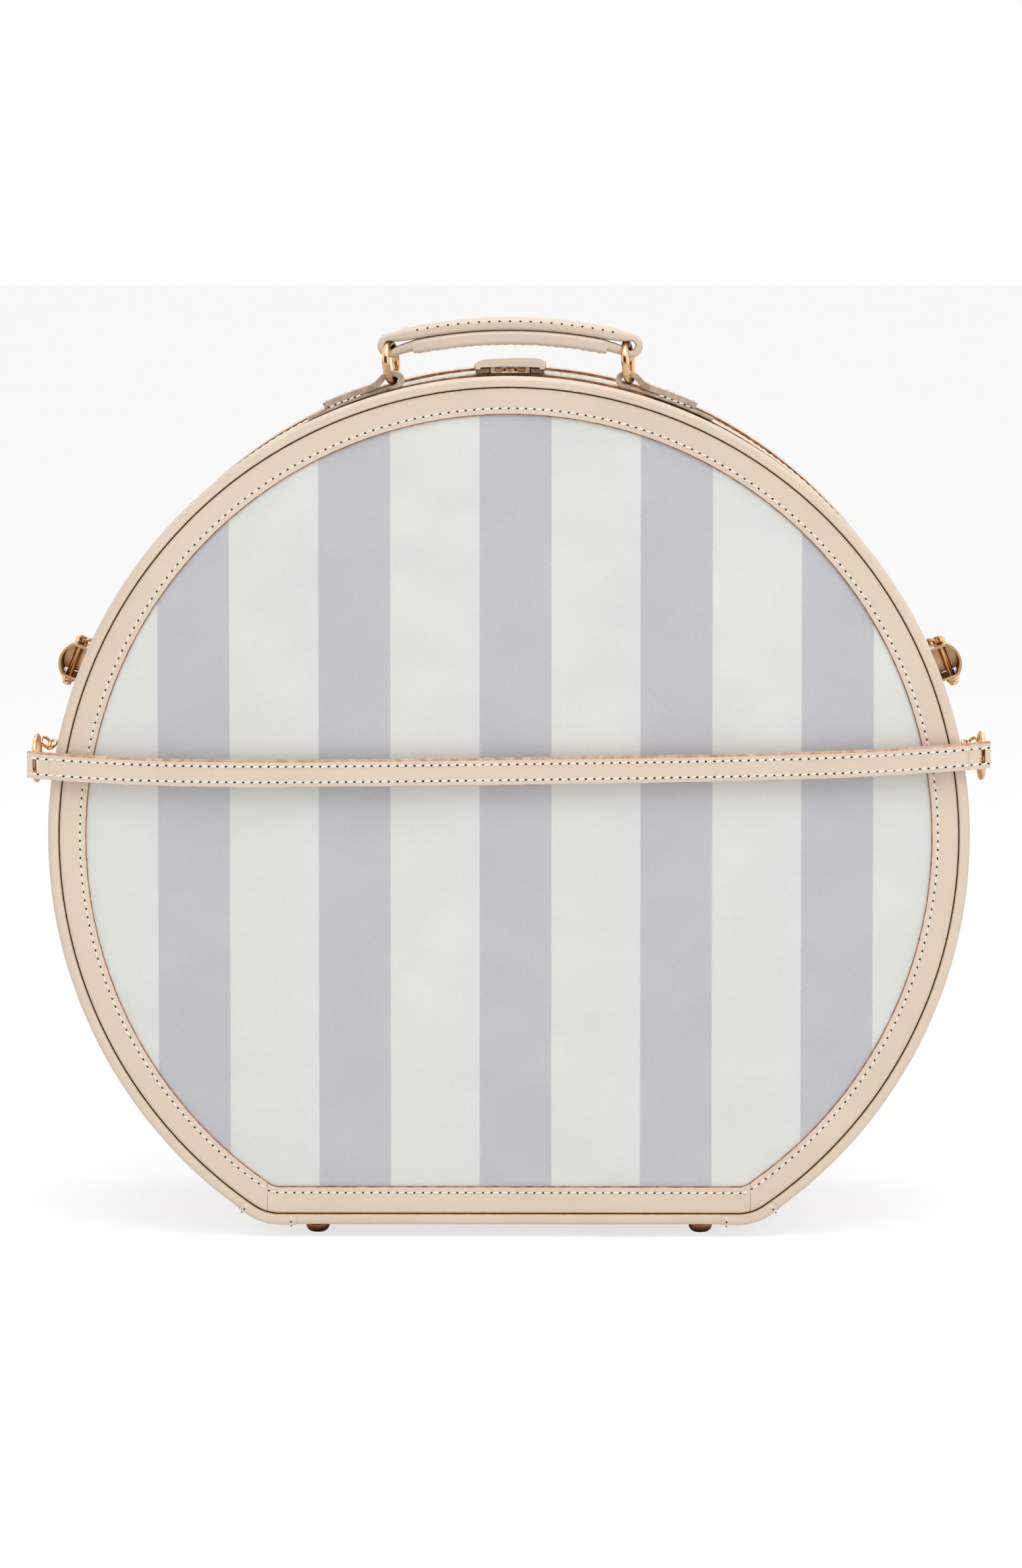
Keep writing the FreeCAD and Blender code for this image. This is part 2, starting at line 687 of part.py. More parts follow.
def latch_lever():
    """Hollow lever: two cheeks, a crowned back and a nose wall that clears the ears."""
    inside = LEVER_HALF_W - LEVER_SHEET
    outer = lever_section(LEVER_HALF_W, LEVER_LOW, LEVER_SHOULDER, LEVER_CROWN, LEVER_BACK, LEVER_NOSE)
    hollow = lever_section(inside, LEVER_LOW - 1, LEVER_SHOULDER - 0.5, LEVER_CROWN - LEVER_SHEET,
                           LEVER_BACK - 1, LEVER_NOSE - LEVER_SHEET)
    wall = (LEVER_NOSE - LEVER_SHEET - 1, LEVER_NOSE + 1)
    tongue = inside - EAR_GAP - EAR_T - 2 * EAR_GAP
    slots = [box(LEVER_LOW - 1, NOSE_ARCH, *wall, -inside, -tongue),
             box(LEVER_LOW - 1, NOSE_ARCH, *wall, tongue, inside),
             box(LEVER_LOW - 1, NOSE_LOW, *wall, -inside, inside)]
    reach = LEVER_HALF_W + 1
    pivot = rod(LATCH_PIN_R + RUNNING, Vector(PIVOT_H, PIVOT_Y, -reach), UP, 2 * reach)
    bar = rod(BAR_R + RUNNING, Vector(BAR_H, BAR_Y, -reach), UP, 2 * reach)
    return cut(outer, hollow, pivot, bar, *slots)


def latch_bar():
    """Bar carried by the lever, with a knob below and a cap above; the loop hangs on it."""
    reach = LOOP_HALF_W + LOOP_WIRE_R + BAR_END_GAP
    shaft = rod(BAR_R, Vector(BAR_H, BAR_Y, -reach), UP, 2 * reach)
    cap = rod(CAP_R, Vector(BAR_H, BAR_Y, reach), UP, CAP_T)
    knob = rod(KNOB_R, Vector(BAR_H, BAR_Y, -reach - KNOB_T), UP, KNOB_T)
    crown = [edge for edge in knob.Edges if edge.BoundBox.ZMax < 0.1 - reach - KNOB_T]
    return fuse(shaft, cap, knob.makeFillet(KNOB_T * 0.7, crown))


def latch_loop():
    """Wire loop from the lever's bar to the hook on the lid."""
    slope = Vector(HOOK_H - BAR_H, HOOK_Y - BAR_Y, 0)
    bits = []
    for z in (-LOOP_HALF_W, LOOP_HALF_W):
        bits.append(rod(LOOP_EYE_R, Vector(BAR_H, BAR_Y, z - LOOP_EYE_HALF_T), UP, 2 * LOOP_EYE_HALF_T))
        bits.append(rod(LOOP_WIRE_R, Vector(BAR_H, BAR_Y, z), slope, slope.Length))
        bits.append(Part.makeSphere(LOOP_BEAD_R, Vector(HOOK_H, HOOK_Y, z)))
    bits.append(rod(LOOP_WIRE_R, Vector(HOOK_H, HOOK_Y, -LOOP_HALF_W), UP, 2 * LOOP_HALF_W))
    reach = LOOP_HALF_W + LOOP_EYE_R
    return cut(fuse(*bits), rod(BAR_R + RUNNING, Vector(BAR_H, BAR_Y, -reach), UP, 2 * reach))


def latch_catch():
    """Hook plate on the lid."""
    low = band_skin()
    top = low + PLATE_T
    plate = box(low, top, CATCH_BACK, CATCH_FRONT, -CATCH_HALF_W, CATCH_HALF_W)
    lip_end = HOOK_Y - LOOP_WIRE_R - CATCH_LIP_GAP
    lip = box(top - 0.5, HOOK_H + CATCH_LIP_OVER, lip_end - CATCH_LIP_T, lip_end,
              -CATCH_LIP_HALF_W, CATCH_LIP_HALF_W)
    domes = [rivet_dome(Vector(top, CATCH_RIVET_Y, z), ALONG_X) for z in (-PLATE_RIVET_Z, PLATE_RIVET_Z)]
    return fuse(plate, lip, *domes)


# ---------- carry strap ----------
def strap_ring(clearance):
    centre = Vector(STRAP_RING_X, STRAP_RING_Y, STRAP_ANCHOR_Z)
    return Part.makeTorus(STRAP_RING_R, STRAP_RING_WIRE_R + clearance, centre, ALONG_X)


def strap_bracket():
    """Riveted plate on the band with the fixed eye that the strap ring hangs in."""
    surface = sqrt(BAND_R ** 2 - STRAP_ANCHOR_Z ** 2)
    eye_x = STRAP_RING_X - EYE_SET_IN
    plate_low = BAND_R + BINDING_CLEAR
    plate_top = plate_low + EYE_PLATE_T
    plate = box(plate_low, plate_top, EYE_Y - EYE_PLATE_HALF_L, EYE_Y + EYE_PLATE_HALF_L,
                -EYE_PLATE_HALF_W, EYE_PLATE_HALF_W)
    for y in (EYE_Y - EYE_RIVET_Y, EYE_Y + EYE_RIVET_Y):
        plate = fuse(plate, rivet_dome(Vector(plate_top, y, 0), ALONG_X))
    plate.rotate(ORIGIN, ALONG_Y, -degrees(asin(STRAP_ANCHOR_Z / BAND_R)))
    eye = Part.makeTorus(EYE_R, EYE_WIRE_R, Vector(eye_x, EYE_Y, STRAP_ANCHOR_Z), UP)
    stem_start = surface + 1
    stem = rod(EYE_WIRE_R + 0.3, Vector(stem_start, EYE_Y, STRAP_ANCHOR_Z), ALONG_X,
               eye_x - EYE_R - stem_start + 0.4)
    return fuse(plate, eye, stem)


def carry_strap():
    """Flat two-layer strap across the back, sagging a little, with an end folded round each ring."""
    half_w = STRAP_W / 2
    radius = STRAP_FOLD_X ** 2 / (2 * STRAP_SAG)
    centre_z = STRAP_ANCHOR_Z - STRAP_SAG + radius

    def edge_arc(offset, start, end):
        def point(x):
            return Vector(x, STRAP_Y, centre_z - sqrt((radius + offset) ** 2 - x ** 2))
        return Part.Arc(point(start), point((start + end) / 2), point(end)).toShape()

    low = edge_arc(half_w, -STRAP_FOLD_X, STRAP_FOLD_X)
    high = edge_arc(-half_w, STRAP_FOLD_X, -STRAP_FOLD_X)
    sides = [Part.LineSegment(low.Vertexes[1].Point, high.Vertexes[0].Point).toShape(),
             Part.LineSegment(high.Vertexes[1].Point, low.Vertexes[0].Point).toShape()]
    main = Part.Face(Part.Wire([low, sides[0], high, sides[1]])).extrude(ALONG_Y * STRAP_T)
    fold = box(STRAP_FOLD_X - 1, STRAP_END_X, STRAP_Y, STRAP_Y + STRAP_FOLD_T,
               STRAP_ANCHOR_Z - half_w, STRAP_ANCHOR_Z + half_w)
    corners = [e for e in fold.Edges if e.BoundBox.ZLength > half_w and e.BoundBox.XMin > STRAP_END_X - 1]
    fold = fold.makeFillet(STRAP_CORNER_R, corners)
    window = box(STRAP_RING_X - STRAP_SLOT_HALF_X, STRAP_RING_X + STRAP_SLOT_HALF_X,
                 STRAP_Y - 1, STRAP_Y + STRAP_FOLD_T / 3,
                 STRAP_ANCHOR_Z - STRAP_SLOT_HALF_Z, STRAP_ANCHOR_Z + STRAP_SLOT_HALF_Z)
    step = box(STRAP_FOLD_X - 2, STRAP_FOLD_X, STRAP_Y + STRAP_T, STRAP_Y + STRAP_FOLD_T + 1,
               STRAP_ANCHOR_Z - STRAP_W, STRAP_ANCHOR_Z + STRAP_W)
    fold = cut(fold, strap_ring(HOLE_CLEAR), window, step)
    fold = max(fold.Solids, key=lambda solid: solid.Volume)
    return fuse(main, fold, mirror_x(fold))


# ---------- assembly ----------
def add(name, shape):
    parts[name] = shape


def add_pair(name, shape):
    add(name + "_right", shape)
    add(name + "_left", mirror_x(shape))


def build_shell(side, flip):
    """One shell of the case. The lid is the base mirrored across the seam."""
    fixings = [feet(), hinge_rivets()]
    shell = {
        "wall": cut(wall(), *fixings),
        "panel": panel(),
        "band_fabric": cut(band_fabric(), *fixings),
        "face_fabric": face_fabric(),
        "lining": lining(),
        "seam_binding": cut(seam_binding(), hinge_rivets()),
        "trim_arc": trim_arc(),
        "trim_foot": trim_foot(),
        "welt_arc": welt_arc(),
        "welt_foot": welt_foot(),
        "welt_sleeves": welt_sleeves(),
        "feet": feet(),
        "hinge_rivets": hinge_rivets(),
    }
    for name, shape in shell.items():
        add(side + "_" + name, mirror_y(shape) if flip else shape)


def build():
    build_shell("base", False)
    build_shell("lid", True)
    shanks = tab_rivet_shanks()
    for name in ("lid_wall", "lid_band_fabric", "lid_seam_binding"):
        parts[name] = cut(parts[name], shanks)
    add("register_lip", register_lip())
    add("base_hinge_leaves", hinge_pair(hinge_leaf(0)))
    add("lid_hinge_leaves", mirror_y(hinge_pair(hinge_leaf(1))))
    add("hinge_pins", hinge_pair(hinge_pin()))
    add_pair("handle_tab", handle_tab())
    add_pair("handle_ring", ring_torus(0))
    add("handle_strap", handle_strap())
    add("handle_grip", handle_grip())
    add("closure_tab", closure_tab())
    add("closure_root", closure_root())
    add("closure_stud", closure_stud())
    add("closure_rivets", tab_rivets())
    add("lock_body", lock_body())
    add("lock_button", lock_button())
    add_pair("latch_plate", place_latch(latch_plate()))
    add_pair("latch_pivot", place_latch(latch_pivot()))
    add_pair("latch_lever", place_latch(latch_lever()))
    add_pair("latch_bar", place_latch(latch_bar()))
    add_pair("latch_loop", place_latch(latch_loop()))
    add_pair("latch_catch", place_latch(latch_catch()))
    add_pair("strap_bracket", strap_bracket())
    add_pair("strap_ring", strap_ring(0))
    add("carry_strap", carry_strap())


build()
os.makedirs("parts", exist_ok=True)
for part_name, part_shape in parts.items():
    part_shape.translate(Vector(0, SEAM_Y, CENTRE_Z))
    part_shape.exportStep("parts/" + part_name + ".step")
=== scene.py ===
import math

import bmesh
import bpy
from mathutils import Matrix, Vector, noise


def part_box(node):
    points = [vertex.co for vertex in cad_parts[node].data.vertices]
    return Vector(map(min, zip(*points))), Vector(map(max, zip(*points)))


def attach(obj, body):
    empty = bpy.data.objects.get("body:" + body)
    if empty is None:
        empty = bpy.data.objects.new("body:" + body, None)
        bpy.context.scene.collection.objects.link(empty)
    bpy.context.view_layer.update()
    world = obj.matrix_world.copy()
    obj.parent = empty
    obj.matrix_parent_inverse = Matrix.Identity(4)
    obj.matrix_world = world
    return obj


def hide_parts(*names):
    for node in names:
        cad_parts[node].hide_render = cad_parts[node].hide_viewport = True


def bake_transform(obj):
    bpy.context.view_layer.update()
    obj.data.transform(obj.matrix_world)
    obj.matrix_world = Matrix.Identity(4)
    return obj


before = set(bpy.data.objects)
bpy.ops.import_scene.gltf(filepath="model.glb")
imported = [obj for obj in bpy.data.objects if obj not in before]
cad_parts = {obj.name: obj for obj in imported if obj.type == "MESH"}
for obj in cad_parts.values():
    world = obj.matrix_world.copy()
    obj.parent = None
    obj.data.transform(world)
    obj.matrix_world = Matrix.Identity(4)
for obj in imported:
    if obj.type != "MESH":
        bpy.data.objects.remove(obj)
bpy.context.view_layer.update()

# Looks for a round travel hat box with a flat foot.
# Pieces are drawn in case coordinates, in millimetres: the origin is the centre of the round
# case on the seam plane, +Z is up, the base is at -Y and the lid at +Y. new_object() turns
# them into metres in the row frame.

MM = 0.001

# ---------- places read from the frame ----------
welt_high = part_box("base_welt_arc")[1]
wall_low, wall_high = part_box("base_wall")[0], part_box("lid_wall")[1]
CENTRE = Vector((0, (wall_low.y + wall_high.y) / 2, welt_high.z - welt_high.x))


def case_box(node):
    """Lowest and highest corner of a CAD node, in case coordinates."""
    low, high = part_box(node)
    return (low - CENTRE) / MM, (high - CENTRE) / MM


def middle_of(node):
    low, high = case_box(node)
    return (low + high) / 2


CASE_R = welt_high.x / MM
FLAT_DROP = -case_box("base_welt_foot")[0].z
HALF_DEPTH = -case_box("base_welt_arc")[0].y
BINDING_R = case_box("base_seam_binding")[1].z
BINDING_W = -case_box("base_seam_binding")[0].y
FABRIC_END = -case_box("base_face_fabric")[0].y
PANEL_END = -case_box("base_panel")[0].y
WALL_END = -case_box("base_wall")[0].y
HANDLE_Y = middle_of("handle_strap").y
RING_X = middle_of("handle_ring_right").x
RING_LOW_Z = case_box("handle_ring_right")[0].z
GRIP_END_X = case_box("handle_grip")[1].x
STRAP_BACK_Y = case_box("carry_strap")[0].y
STRAP_END_X = case_box("carry_strap")[1].x
STRAP_RING_X = middle_of("strap_ring_right").x
CLOSURE_LOW, CLOSURE_HIGH = case_box("closure_tab")
ROOT_END_Y = case_box("closure_root")[1].y

# ---------- sizes of the sewn work ----------
CORNER_R = 26.0
WELT_W = 5.0
TRIM_INNER = 17.9
TRIM_JOINT_X = 113.0
SLEEVE_START = CASE_R * math.radians(144)
SLEEVE_FOOT_X = 99.7
STITCH_PITCH = 4.0
STITCH_FROM_EDGE = 3.0
OUTLINE_STEP = 2.0
LINING_INSET = 7.1
LINING_FLOOR_INSET = 7.3
TRIM_TOP = 106.9
STRIPE_PITCH = 75.0
STRIPE_GREY = 33.5
FACE_STRIPE_START = -13.8
BAND_STRIPE_START = 2.4

BASE = -1
LID = 1
SIDES = ((BASE, "base"), (LID, "lid"))
# slots of the leather sets; the fourth holds painted shade for grooves, gaps and tucked-in ends
LEATHER, EDGE, SUEDE, SHADE_SLOT, LIP = 0, 1, 2, 3, 4


# ---------- materials ----------
def rgb(red, green, blue):
    """Scene colour from 0-255 screen values."""
    def linear(value):
        value = value / 255
        return value / 12.92 if value <= 0.04045 else ((value + 0.055) / 1.055) ** 2.4
    return (linear(red), linear(green), linear(blue), 1.0)


def fill(tree, socket, value):
    """Links a socket to another one, or gives it a plain value."""
    if isinstance(value, bpy.types.NodeSocket):
        tree.links.new(value, socket)
    else:
        socket.default_value = value


def add_node(tree, kind, **inputs):
    """New shader node with its inputs filled by name, with _ for a blank."""
    node = tree.nodes.new("ShaderNode" + kind)
    for name, value in inputs.items():
        fill(tree, node.inputs[name.replace("_", " ")], value)
    return node


class Shader:
    """A node material under construction; sockets are passed around as plain values."""

    def __init__(self, name):
        self.material = bpy.data.materials.new(name)
        self.material.use_nodes = True
        self.tree = self.material.node_tree
        self.tree.nodes.clear()
        output = self.node("OutputMaterial")
        self.surface = self.node("BsdfPrincipled")
        self.tree.links.new(self.surface.outputs["BSDF"], output.inputs["Surface"])
        self.place = self.node("TexCoord").outputs["Object"]

    def node(self, kind, **inputs):
        return add_node(self.tree, kind, **inputs)

    def set(self, **inputs):
        for name, value in inputs.items():
            fill(self.tree, self.surface.inputs[name.replace("_", " ")], value)

    def math(self, operation, first, second=0.0):
        node = self.node("Math")
        node.operation = operation
        fill(self.tree, node.inputs[0], first)
        fill(self.tree, node.inputs[1], second)
        return node.outputs[0]

    def stretch(self, x, y, z):
        return self.node("Mapping", Vector=self.place, Scale=(x, y, z)).outputs[0]

    def noise(self, scale, detail=4.0, roughness=0.5, vector=None):
        return self.node("TexNoise", Vector=vector or self.place, Scale=scale, Detail=detail,
                         Roughness=roughness).outputs["Fac"]

    def cells(self, scale):
        return self.node("TexVoronoi", Vector=self.place, Scale=scale).outputs["Distance"]

    def spread(self, value, low, high, to_low=0.0, to_high=1.0):
        return self.node("MapRange", Value=value, From_Min=low, From_Max=high, To_Min=to_low,
                         To_Max=to_high).outputs["Result"]

    def blend(self, amount, first, second):
        node = self.node("Mix")
        node.data_type = "RGBA"
        for name, value in (("Factor", amount), ("A", first), ("B", second)):
            fill(self.tree, node.inputs[name], value)
        return node.outputs["Result"]

    def attribute(self, name):
        node = self.node("Attribute")
        node.attribute_name = name
        return node.outputs["Fac"]

    def openness(self, distance):
        """1 on open surfaces, towards 0 in hollows; it looks distance mm around."""
        node = self.node("AmbientOcclusion", Distance=distance * MM)
        node.samples = 8
        return node.outputs["AO"]

    def bump(self, *layers):
        """Stacks (height, strength, depth in mm) layers of relief."""
        below = {}
        for height, strength, depth in layers:
            node = self.node("Bump", Height=height, Strength=strength, Distance=depth * MM, **below)
            below = {"Normal": node.outputs["Normal"]}
        self.set(**below)


def leather_material(name, pale, deep, roughness):
    """Smooth dressed leather: soft clouds of tone, faint pores and a satin finish."""
    s = Shader(name)
    clouds = s.spread(s.noise(14, 5, 0.6), 0.35, 0.65)
    tone = s.blend(clouds, pale, deep)
    pores = s.cells(1500)
    grain = s.noise(700, 6, 0.65)
    tone = s.blend(s.spread(grain, 0.62, 0.8, 0.0, 0.10), tone, rgb(170, 140, 112))
    s.set(Base_Color=tone, Roughness=s.spread(grain, 0.3, 0.7, roughness - 0.05, roughness + 0.08),
          Coat_Weight=0.18, Coat_Roughness=0.22, IOR=1.46)
    s.bump((s.noise(60, 3), 0.25, 0.25), (grain, 0.22, 0.08), (pores, 0.10, 0.05))
    return s.material


def edge_material(name, light, dark):
    """Cut leather edge: pressed fibres and open pits."""
    s = Shader(name)
    fibres = s.noise(900, 6, 0.7)
    clumps = s.noise(240, 3, 0.6)
    tone = s.blend(s.spread(clumps, 0.35, 0.65), light, dark)
    tone = s.blend(s.spread(fibres, 0.55, 0.75, 0.0, 0.6), tone, rgb(70, 42, 24))
    s.set(Base_Color=tone, Roughness=0.92, Sheen_Weight=0.25, Sheen_Roughness=0.5)
    s.bump((fibres, 0.6, 0.22), (clumps, 0.4, 0.25))
    return s.material


def thread_material():
    s = Shader("thread")
    twist = s.noise(1600, 3, 0.5, s.stretch(1.0, 0.6, 1.0))
    tone = s.blend(s.spread(twist, 0.35, 0.7), rgb(255, 253, 247), rgb(232, 226, 212))
    s.set(Base_Color=tone, Roughness=0.7, Sheen_Weight=0.3)
    s.bump((twist, 0.5, 0.12))
    return s.material


def hole_material():
    s = Shader("needle_hole_shade")
    # painted shade: near-black stands in for the shade inside the hole
    tone = s.blend(s.noise(2000), rgb(20, 15, 12), rgb(46, 34, 26))
    s.set(Base_Color=tone, Roughness=0.95)
    s.bump((s.noise(2500), 0.3, 0.05))
    return s.material


def stripe_material():
    """Coated cotton with wide printed stripes; across and along are set on the mesh in mm."""
    s = Shader("striped_fabric")
    across = s.attribute("across")
    along = s.attribute("along")
    bleed = s.math("MULTIPLY", s.math("SUBTRACT", s.noise(900, 2), 0.5), 0.5)
    wavy = s.math("ADD", across, bleed)
    turn = s.math("FLOORED_MODULO", wavy, STRIPE_PITCH)
    rise = s.spread(turn, 0.0, 0.35)
    fall = s.spread(turn, STRIPE_GREY, STRIPE_GREY + 0.35, 1.0, 0.0)
    grey_part = s.math("MULTIPLY", rise, fall)
    fleck = s.noise(1.0, 4, 0.6, flat_vector(s, across, along, 0.5, 3.2))
    cloud = s.noise(1.0, 3, 0.5, flat_vector(s, across, along, 0.02, 0.03))
    white = s.blend(s.spread(cloud, 0.3, 0.7), rgb(228, 229, 223), rgb(221, 222, 217))
    grey = s.blend(s.spread(cloud, 0.3, 0.7), rgb(199, 199, 203), rgb(192, 192, 197))
    tone = s.blend(grey_part, white, grey)
    tone = s.blend(s.spread(fleck, 0.55, 0.8, 0.0, 0.35), tone, rgb(236, 236, 236))
    tone = s.blend(s.spread(fleck, 0.45, 0.2, 0.0, 0.25), tone, rgb(160, 160, 166))
    warp = s.math("SINE", s.math("MULTIPLY", across, 2 * math.pi / 0.55))
    weft = s.math("SINE", s.math("MULTIPLY", along, 2 * math.pi / 0.5))
    weave = s.math("MULTIPLY", warp, weft)
    s.set(Base_Color=tone, Roughness=0.72, Sheen_Weight=0.08, IOR=1.4)
    s.bump((cloud, 0.3, 0.2), (fleck, 0.3, 0.06), (weave, 0.25, 0.05))
    return s.material


def flat_vector(s, across, along, u_scale, v_scale):
    """Texture place on the flattened cloth, in mm, stretched by the two scales."""
    return s.node("CombineXYZ", X=s.math("MULTIPLY", across, u_scale),
                  Y=s.math("MULTIPLY", along, v_scale)).outputs["Vector"]


def lining_material():
    s = Shader("lining_cotton")
    thread_x = s.noise(1.0, 3, 0.5, s.stretch(3000, 260, 260))
    thread_z = s.noise(1.0, 3, 0.5, s.stretch(260, 3000, 3000))
    weave = s.math("ADD", thread_x, thread_z)
    tone = s.blend(s.spread(weave, 0.8, 1.2), rgb(214, 200, 182), rgb(228, 217, 202))
    tone = s.blend(s.spread(s.noise(9, 3), 0.3, 0.7, 0.0, 0.3), tone, rgb(206, 192, 174))
    s.set(Base_Color=tone, Roughness=0.88, Sheen_Weight=0.3)
    s.bump((weave, 0.4, 0.08), (s.noise(40, 3), 0.3, 0.4))
    return s.material


def board_material():
    s = Shader("fibre_board")
    fibre = s.noise(500, 6, 0.7, s.stretch(1.0, 0.25, 1.0))
    tone = s.blend(s.spread(fibre, 0.3, 0.7), rgb(168, 140, 108), rgb(132, 104, 76))
    s.set(Base_Color=tone, Roughness=0.9)
    s.bump((fibre, 0.4, 0.15))
    return s.material


def metal_material(name, light, dark, roughness, hollow_shade=0.6):
    """Polished plating with faint handling marks and painted shade in the hollows."""
    s = Shader(name)
    marks = s.noise(420, 5, 0.7, s.stretch(1.0, 0.2, 1.0))
    patches = s.noise(90, 3, 0.6)
    tone = s.blend(s.spread(patches, 0.35, 0.7), light, dark)
    # painted shade: the tone turns dark brown where ambient occlusion finds a hollow
    tone = s.blend(s.spread(s.openness(6), 0.05, hollow_shade), rgb(88, 48, 18), tone)
    polish = s.spread(marks, 0.3, 0.75, roughness, roughness + 0.12)
    s.set(Base_Color=tone, Metallic=1.0, Roughness=polish)
    s.bump((marks, 0.10, 0.02), (patches, 0.15, 0.08))
    return s.material


CREAM = leather_material("leather", rgb(229, 211, 191), rgb(224, 204, 183), 0.40)
PINK_CREAM = leather_material("leather_pink", rgb(232, 213, 196), rgb(227, 206, 187), 0.36)
RAW_EDGE = edge_material("raw_edge", rgb(222, 188, 164), rgb(184, 140, 112))
TRIM_EDGE = edge_material("trim_edge", rgb(186, 134, 104), rgb(112, 70, 46))
TAN_LIP = edge_material("tan_lip", rgb(224, 186, 138), rgb(200, 158, 108))
BROWN_EDGE = edge_material("brown_edge", rgb(170, 112, 62), rgb(104, 58, 26))
SUEDE_BACK = edge_material("suede", rgb(204, 184, 164), rgb(168, 144, 122))
# painted shade: near-black suede stands in for the shade inside grooves, gaps and hidden ends
PAINTED_GAP_SHADE = edge_material("painted_gap_shade", rgb(70, 52, 38), rgb(44, 32, 24))
FLAP_SUEDE = edge_material("flap_suede", rgb(158, 128, 102), rgb(116, 88, 66))
THREAD = thread_material()
HOLE_SHADE = hole_material()
STRIPES = stripe_material()
LINING = lining_material()
BOARD = board_material()
GOLD = metal_material("gold_metal", rgb(243, 206, 160), rgb(232, 182, 132), 0.13)
COPPER = metal_material("foot_metal", rgb(232, 160, 110), rgb(206, 128, 80), 0.2)
# painted light: a paler gold than the rest, with little hollow shade, lifts the lock out of the closure's
# shade
LOCK_GOLD_PAINTED_LIGHT = metal_material("lock_metal_painted_light", rgb(255, 236, 214), rgb(250, 222, 194), 0.3, hollow_shade=0.06)
LOCK_COPPER = metal_material("lock_button_metal", rgb(240, 178, 136), rgb(222, 152, 108), 0.28,
                             hollow_shade=0.06)
LEATHER_SET = [CREAM, RAW_EDGE, SUEDE_BACK, PAINTED_GAP_SHADE]
TRIM_SET = [CREAM, TRIM_EDGE, SUEDE_BACK, PAINTED_GAP_SHADE]
BINDING_SET = [CREAM, BROWN_EDGE, SUEDE_BACK, PAINTED_GAP_SHADE, TAN_LIP]
TAB_SET = [CREAM, SUEDE_BACK, SUEDE_BACK, PAINTED_GAP_SHADE]
STRAP_SET = [CREAM, RAW_EDGE, RAW_EDGE, PAINTED_GAP_SHADE]
CLOSURE_SET = [CREAM, SUEDE_BACK, FLAP_SUEDE, PAINTED_GAP_SHADE]


# ---------- mesh helpers ----------
def new_object(name, points, faces, materials, slots=None, sharp=40):
    """Mesh object from case coordinates, with normals outwards and only real creases left sharp."""
    mesh = bpy.data.meshes.new(name)
    mesh.from_pydata([CENTRE + Vector(point) * MM for point in points], [], faces)
    for material in materials:
        mesh.materials.append(material)
    if slots:
        mesh.polygons.foreach_set("material_index", slots)
    work = bmesh.new()
    work.from_mesh(mesh)
    bmesh.ops.recalc_face_normals(work, faces=work.faces)
    work.to_mesh(mesh)
    work.free()
    mesh.shade_smooth()
    mesh.set_sharp_from_angle(angle=math.radians(sharp))
    obj = bpy.data.objects.new(name, mesh)
    bpy.context.scene.collection.objects.link(obj)
    return obj


def ring_faces(first, second, count):
    """Faces between two rings of points, each given by the number of its first point."""
    return [(first + k, first + (k + 1) % count, second + (k + 1) % count, second + k)
            for k in range(count)]


def loft(name, rows, materials, row_slots, closed=False, end_slot=0, sharp=40):
    """Skin over rows of points; each row is one closed loop. Open ends are capped."""
    width = len(rows[0])
    count = len(rows)
    points = [point for row in rows for point in row]
    faces = []
    slots = []
    for i in range(count if closed else count - 1):
        faces.extend(ring_faces(i * width, (i + 1) % count * width, width))
        slots.extend(row_slots)
    if not closed:
        last = (count - 1) * width
        faces.append(tuple(range(width)))
        faces.append(tuple(last + j for j in range(width)))
        slots.extend([end_slot, end_slot])
    return new_object(name, points, faces, materials, slots, sharp)


def set_cloth_place(obj, values):
    """Stores the across and along place of each vertex, in mm, for the cloth pattern."""
    for name, index in (("across", 0), ("along", 1)):
        layer = obj.data.attributes.new(name, "FLOAT", "POINT")
        layer.data.foreach_set("value", [value[index] for value in values])


def in_slot(slot, *points):
    """Points of a profile that share one material slot."""
    return [(*point, slot) for point in points]


def finish_piece(obj, body, slot, *nodes):
    if nodes:
        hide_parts(*nodes)
    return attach(obj, body)


def soft_step(value, low, high):
    """0 below low, 1 above high, with an S curve between them."""
    share = min(1.0, max(0.0, (value - low) / (high - low)))
    return share * share * (3 - 2 * share)


def ripple(seed, size, *place):
    """Smooth unevenness between -1 and 1 at a place given in mm."""
    u, v = (tuple(place) + (0.0,))[:2]
    return noise.noise(Vector((u / size, v / size, 7.3 * seed)))


# ---------- the outline of the case ----------
CORNER_X = math.sqrt((CASE_R - CORNER_R) ** 2 - (FLAT_DROP - CORNER_R) ** 2)
CORNER_START = math.pi - math.atan2(CORNER_X, FLAT_DROP - CORNER_R)
ARC_LENGTH = CASE_R * CORNER_START
CORNER_LENGTH = CORNER_R * (math.pi - CORNER_START)
HALF_ROUND = ARC_LENGTH + CORNER_LENGTH + CORNER_X


def edge_at(s):
    """(x, z) of the outside edge and its outward normal, s mm round from the top towards +X."""
    side = 1 if s >= 0 else -1
    s = abs(s)
    if s > HALF_ROUND:
        side = -side
        s = 2 * HALF_ROUND - s
    if s < ARC_LENGTH:
        angle = s / CASE_R
        x, z = CASE_R * math.sin(angle), CASE_R * math.cos(angle)
    elif s < ARC_LENGTH + CORNER_LENGTH:
        angle = CORNER_START + (s - ARC_LENGTH) / CORNER_R
        x = CORNER_X + CORNER_R * math.sin(angle)
        z = CORNER_R - FLAT_DROP + CORNER_R * math.cos(angle)
    else:
        angle = math.pi
        x, z = HALF_ROUND - s, -FLAT_DROP
    return side * x, z, side * math.sin(angle), math.cos(angle)


def on_case(s, inset, depth, side):
    """Point set in from the outside edge, depth mm out from the seam on one side of the case."""
    x, z, normal_x, normal_z = edge_at(s)
    return Vector((x - inset * normal_x, side * depth, z - inset * normal_z))


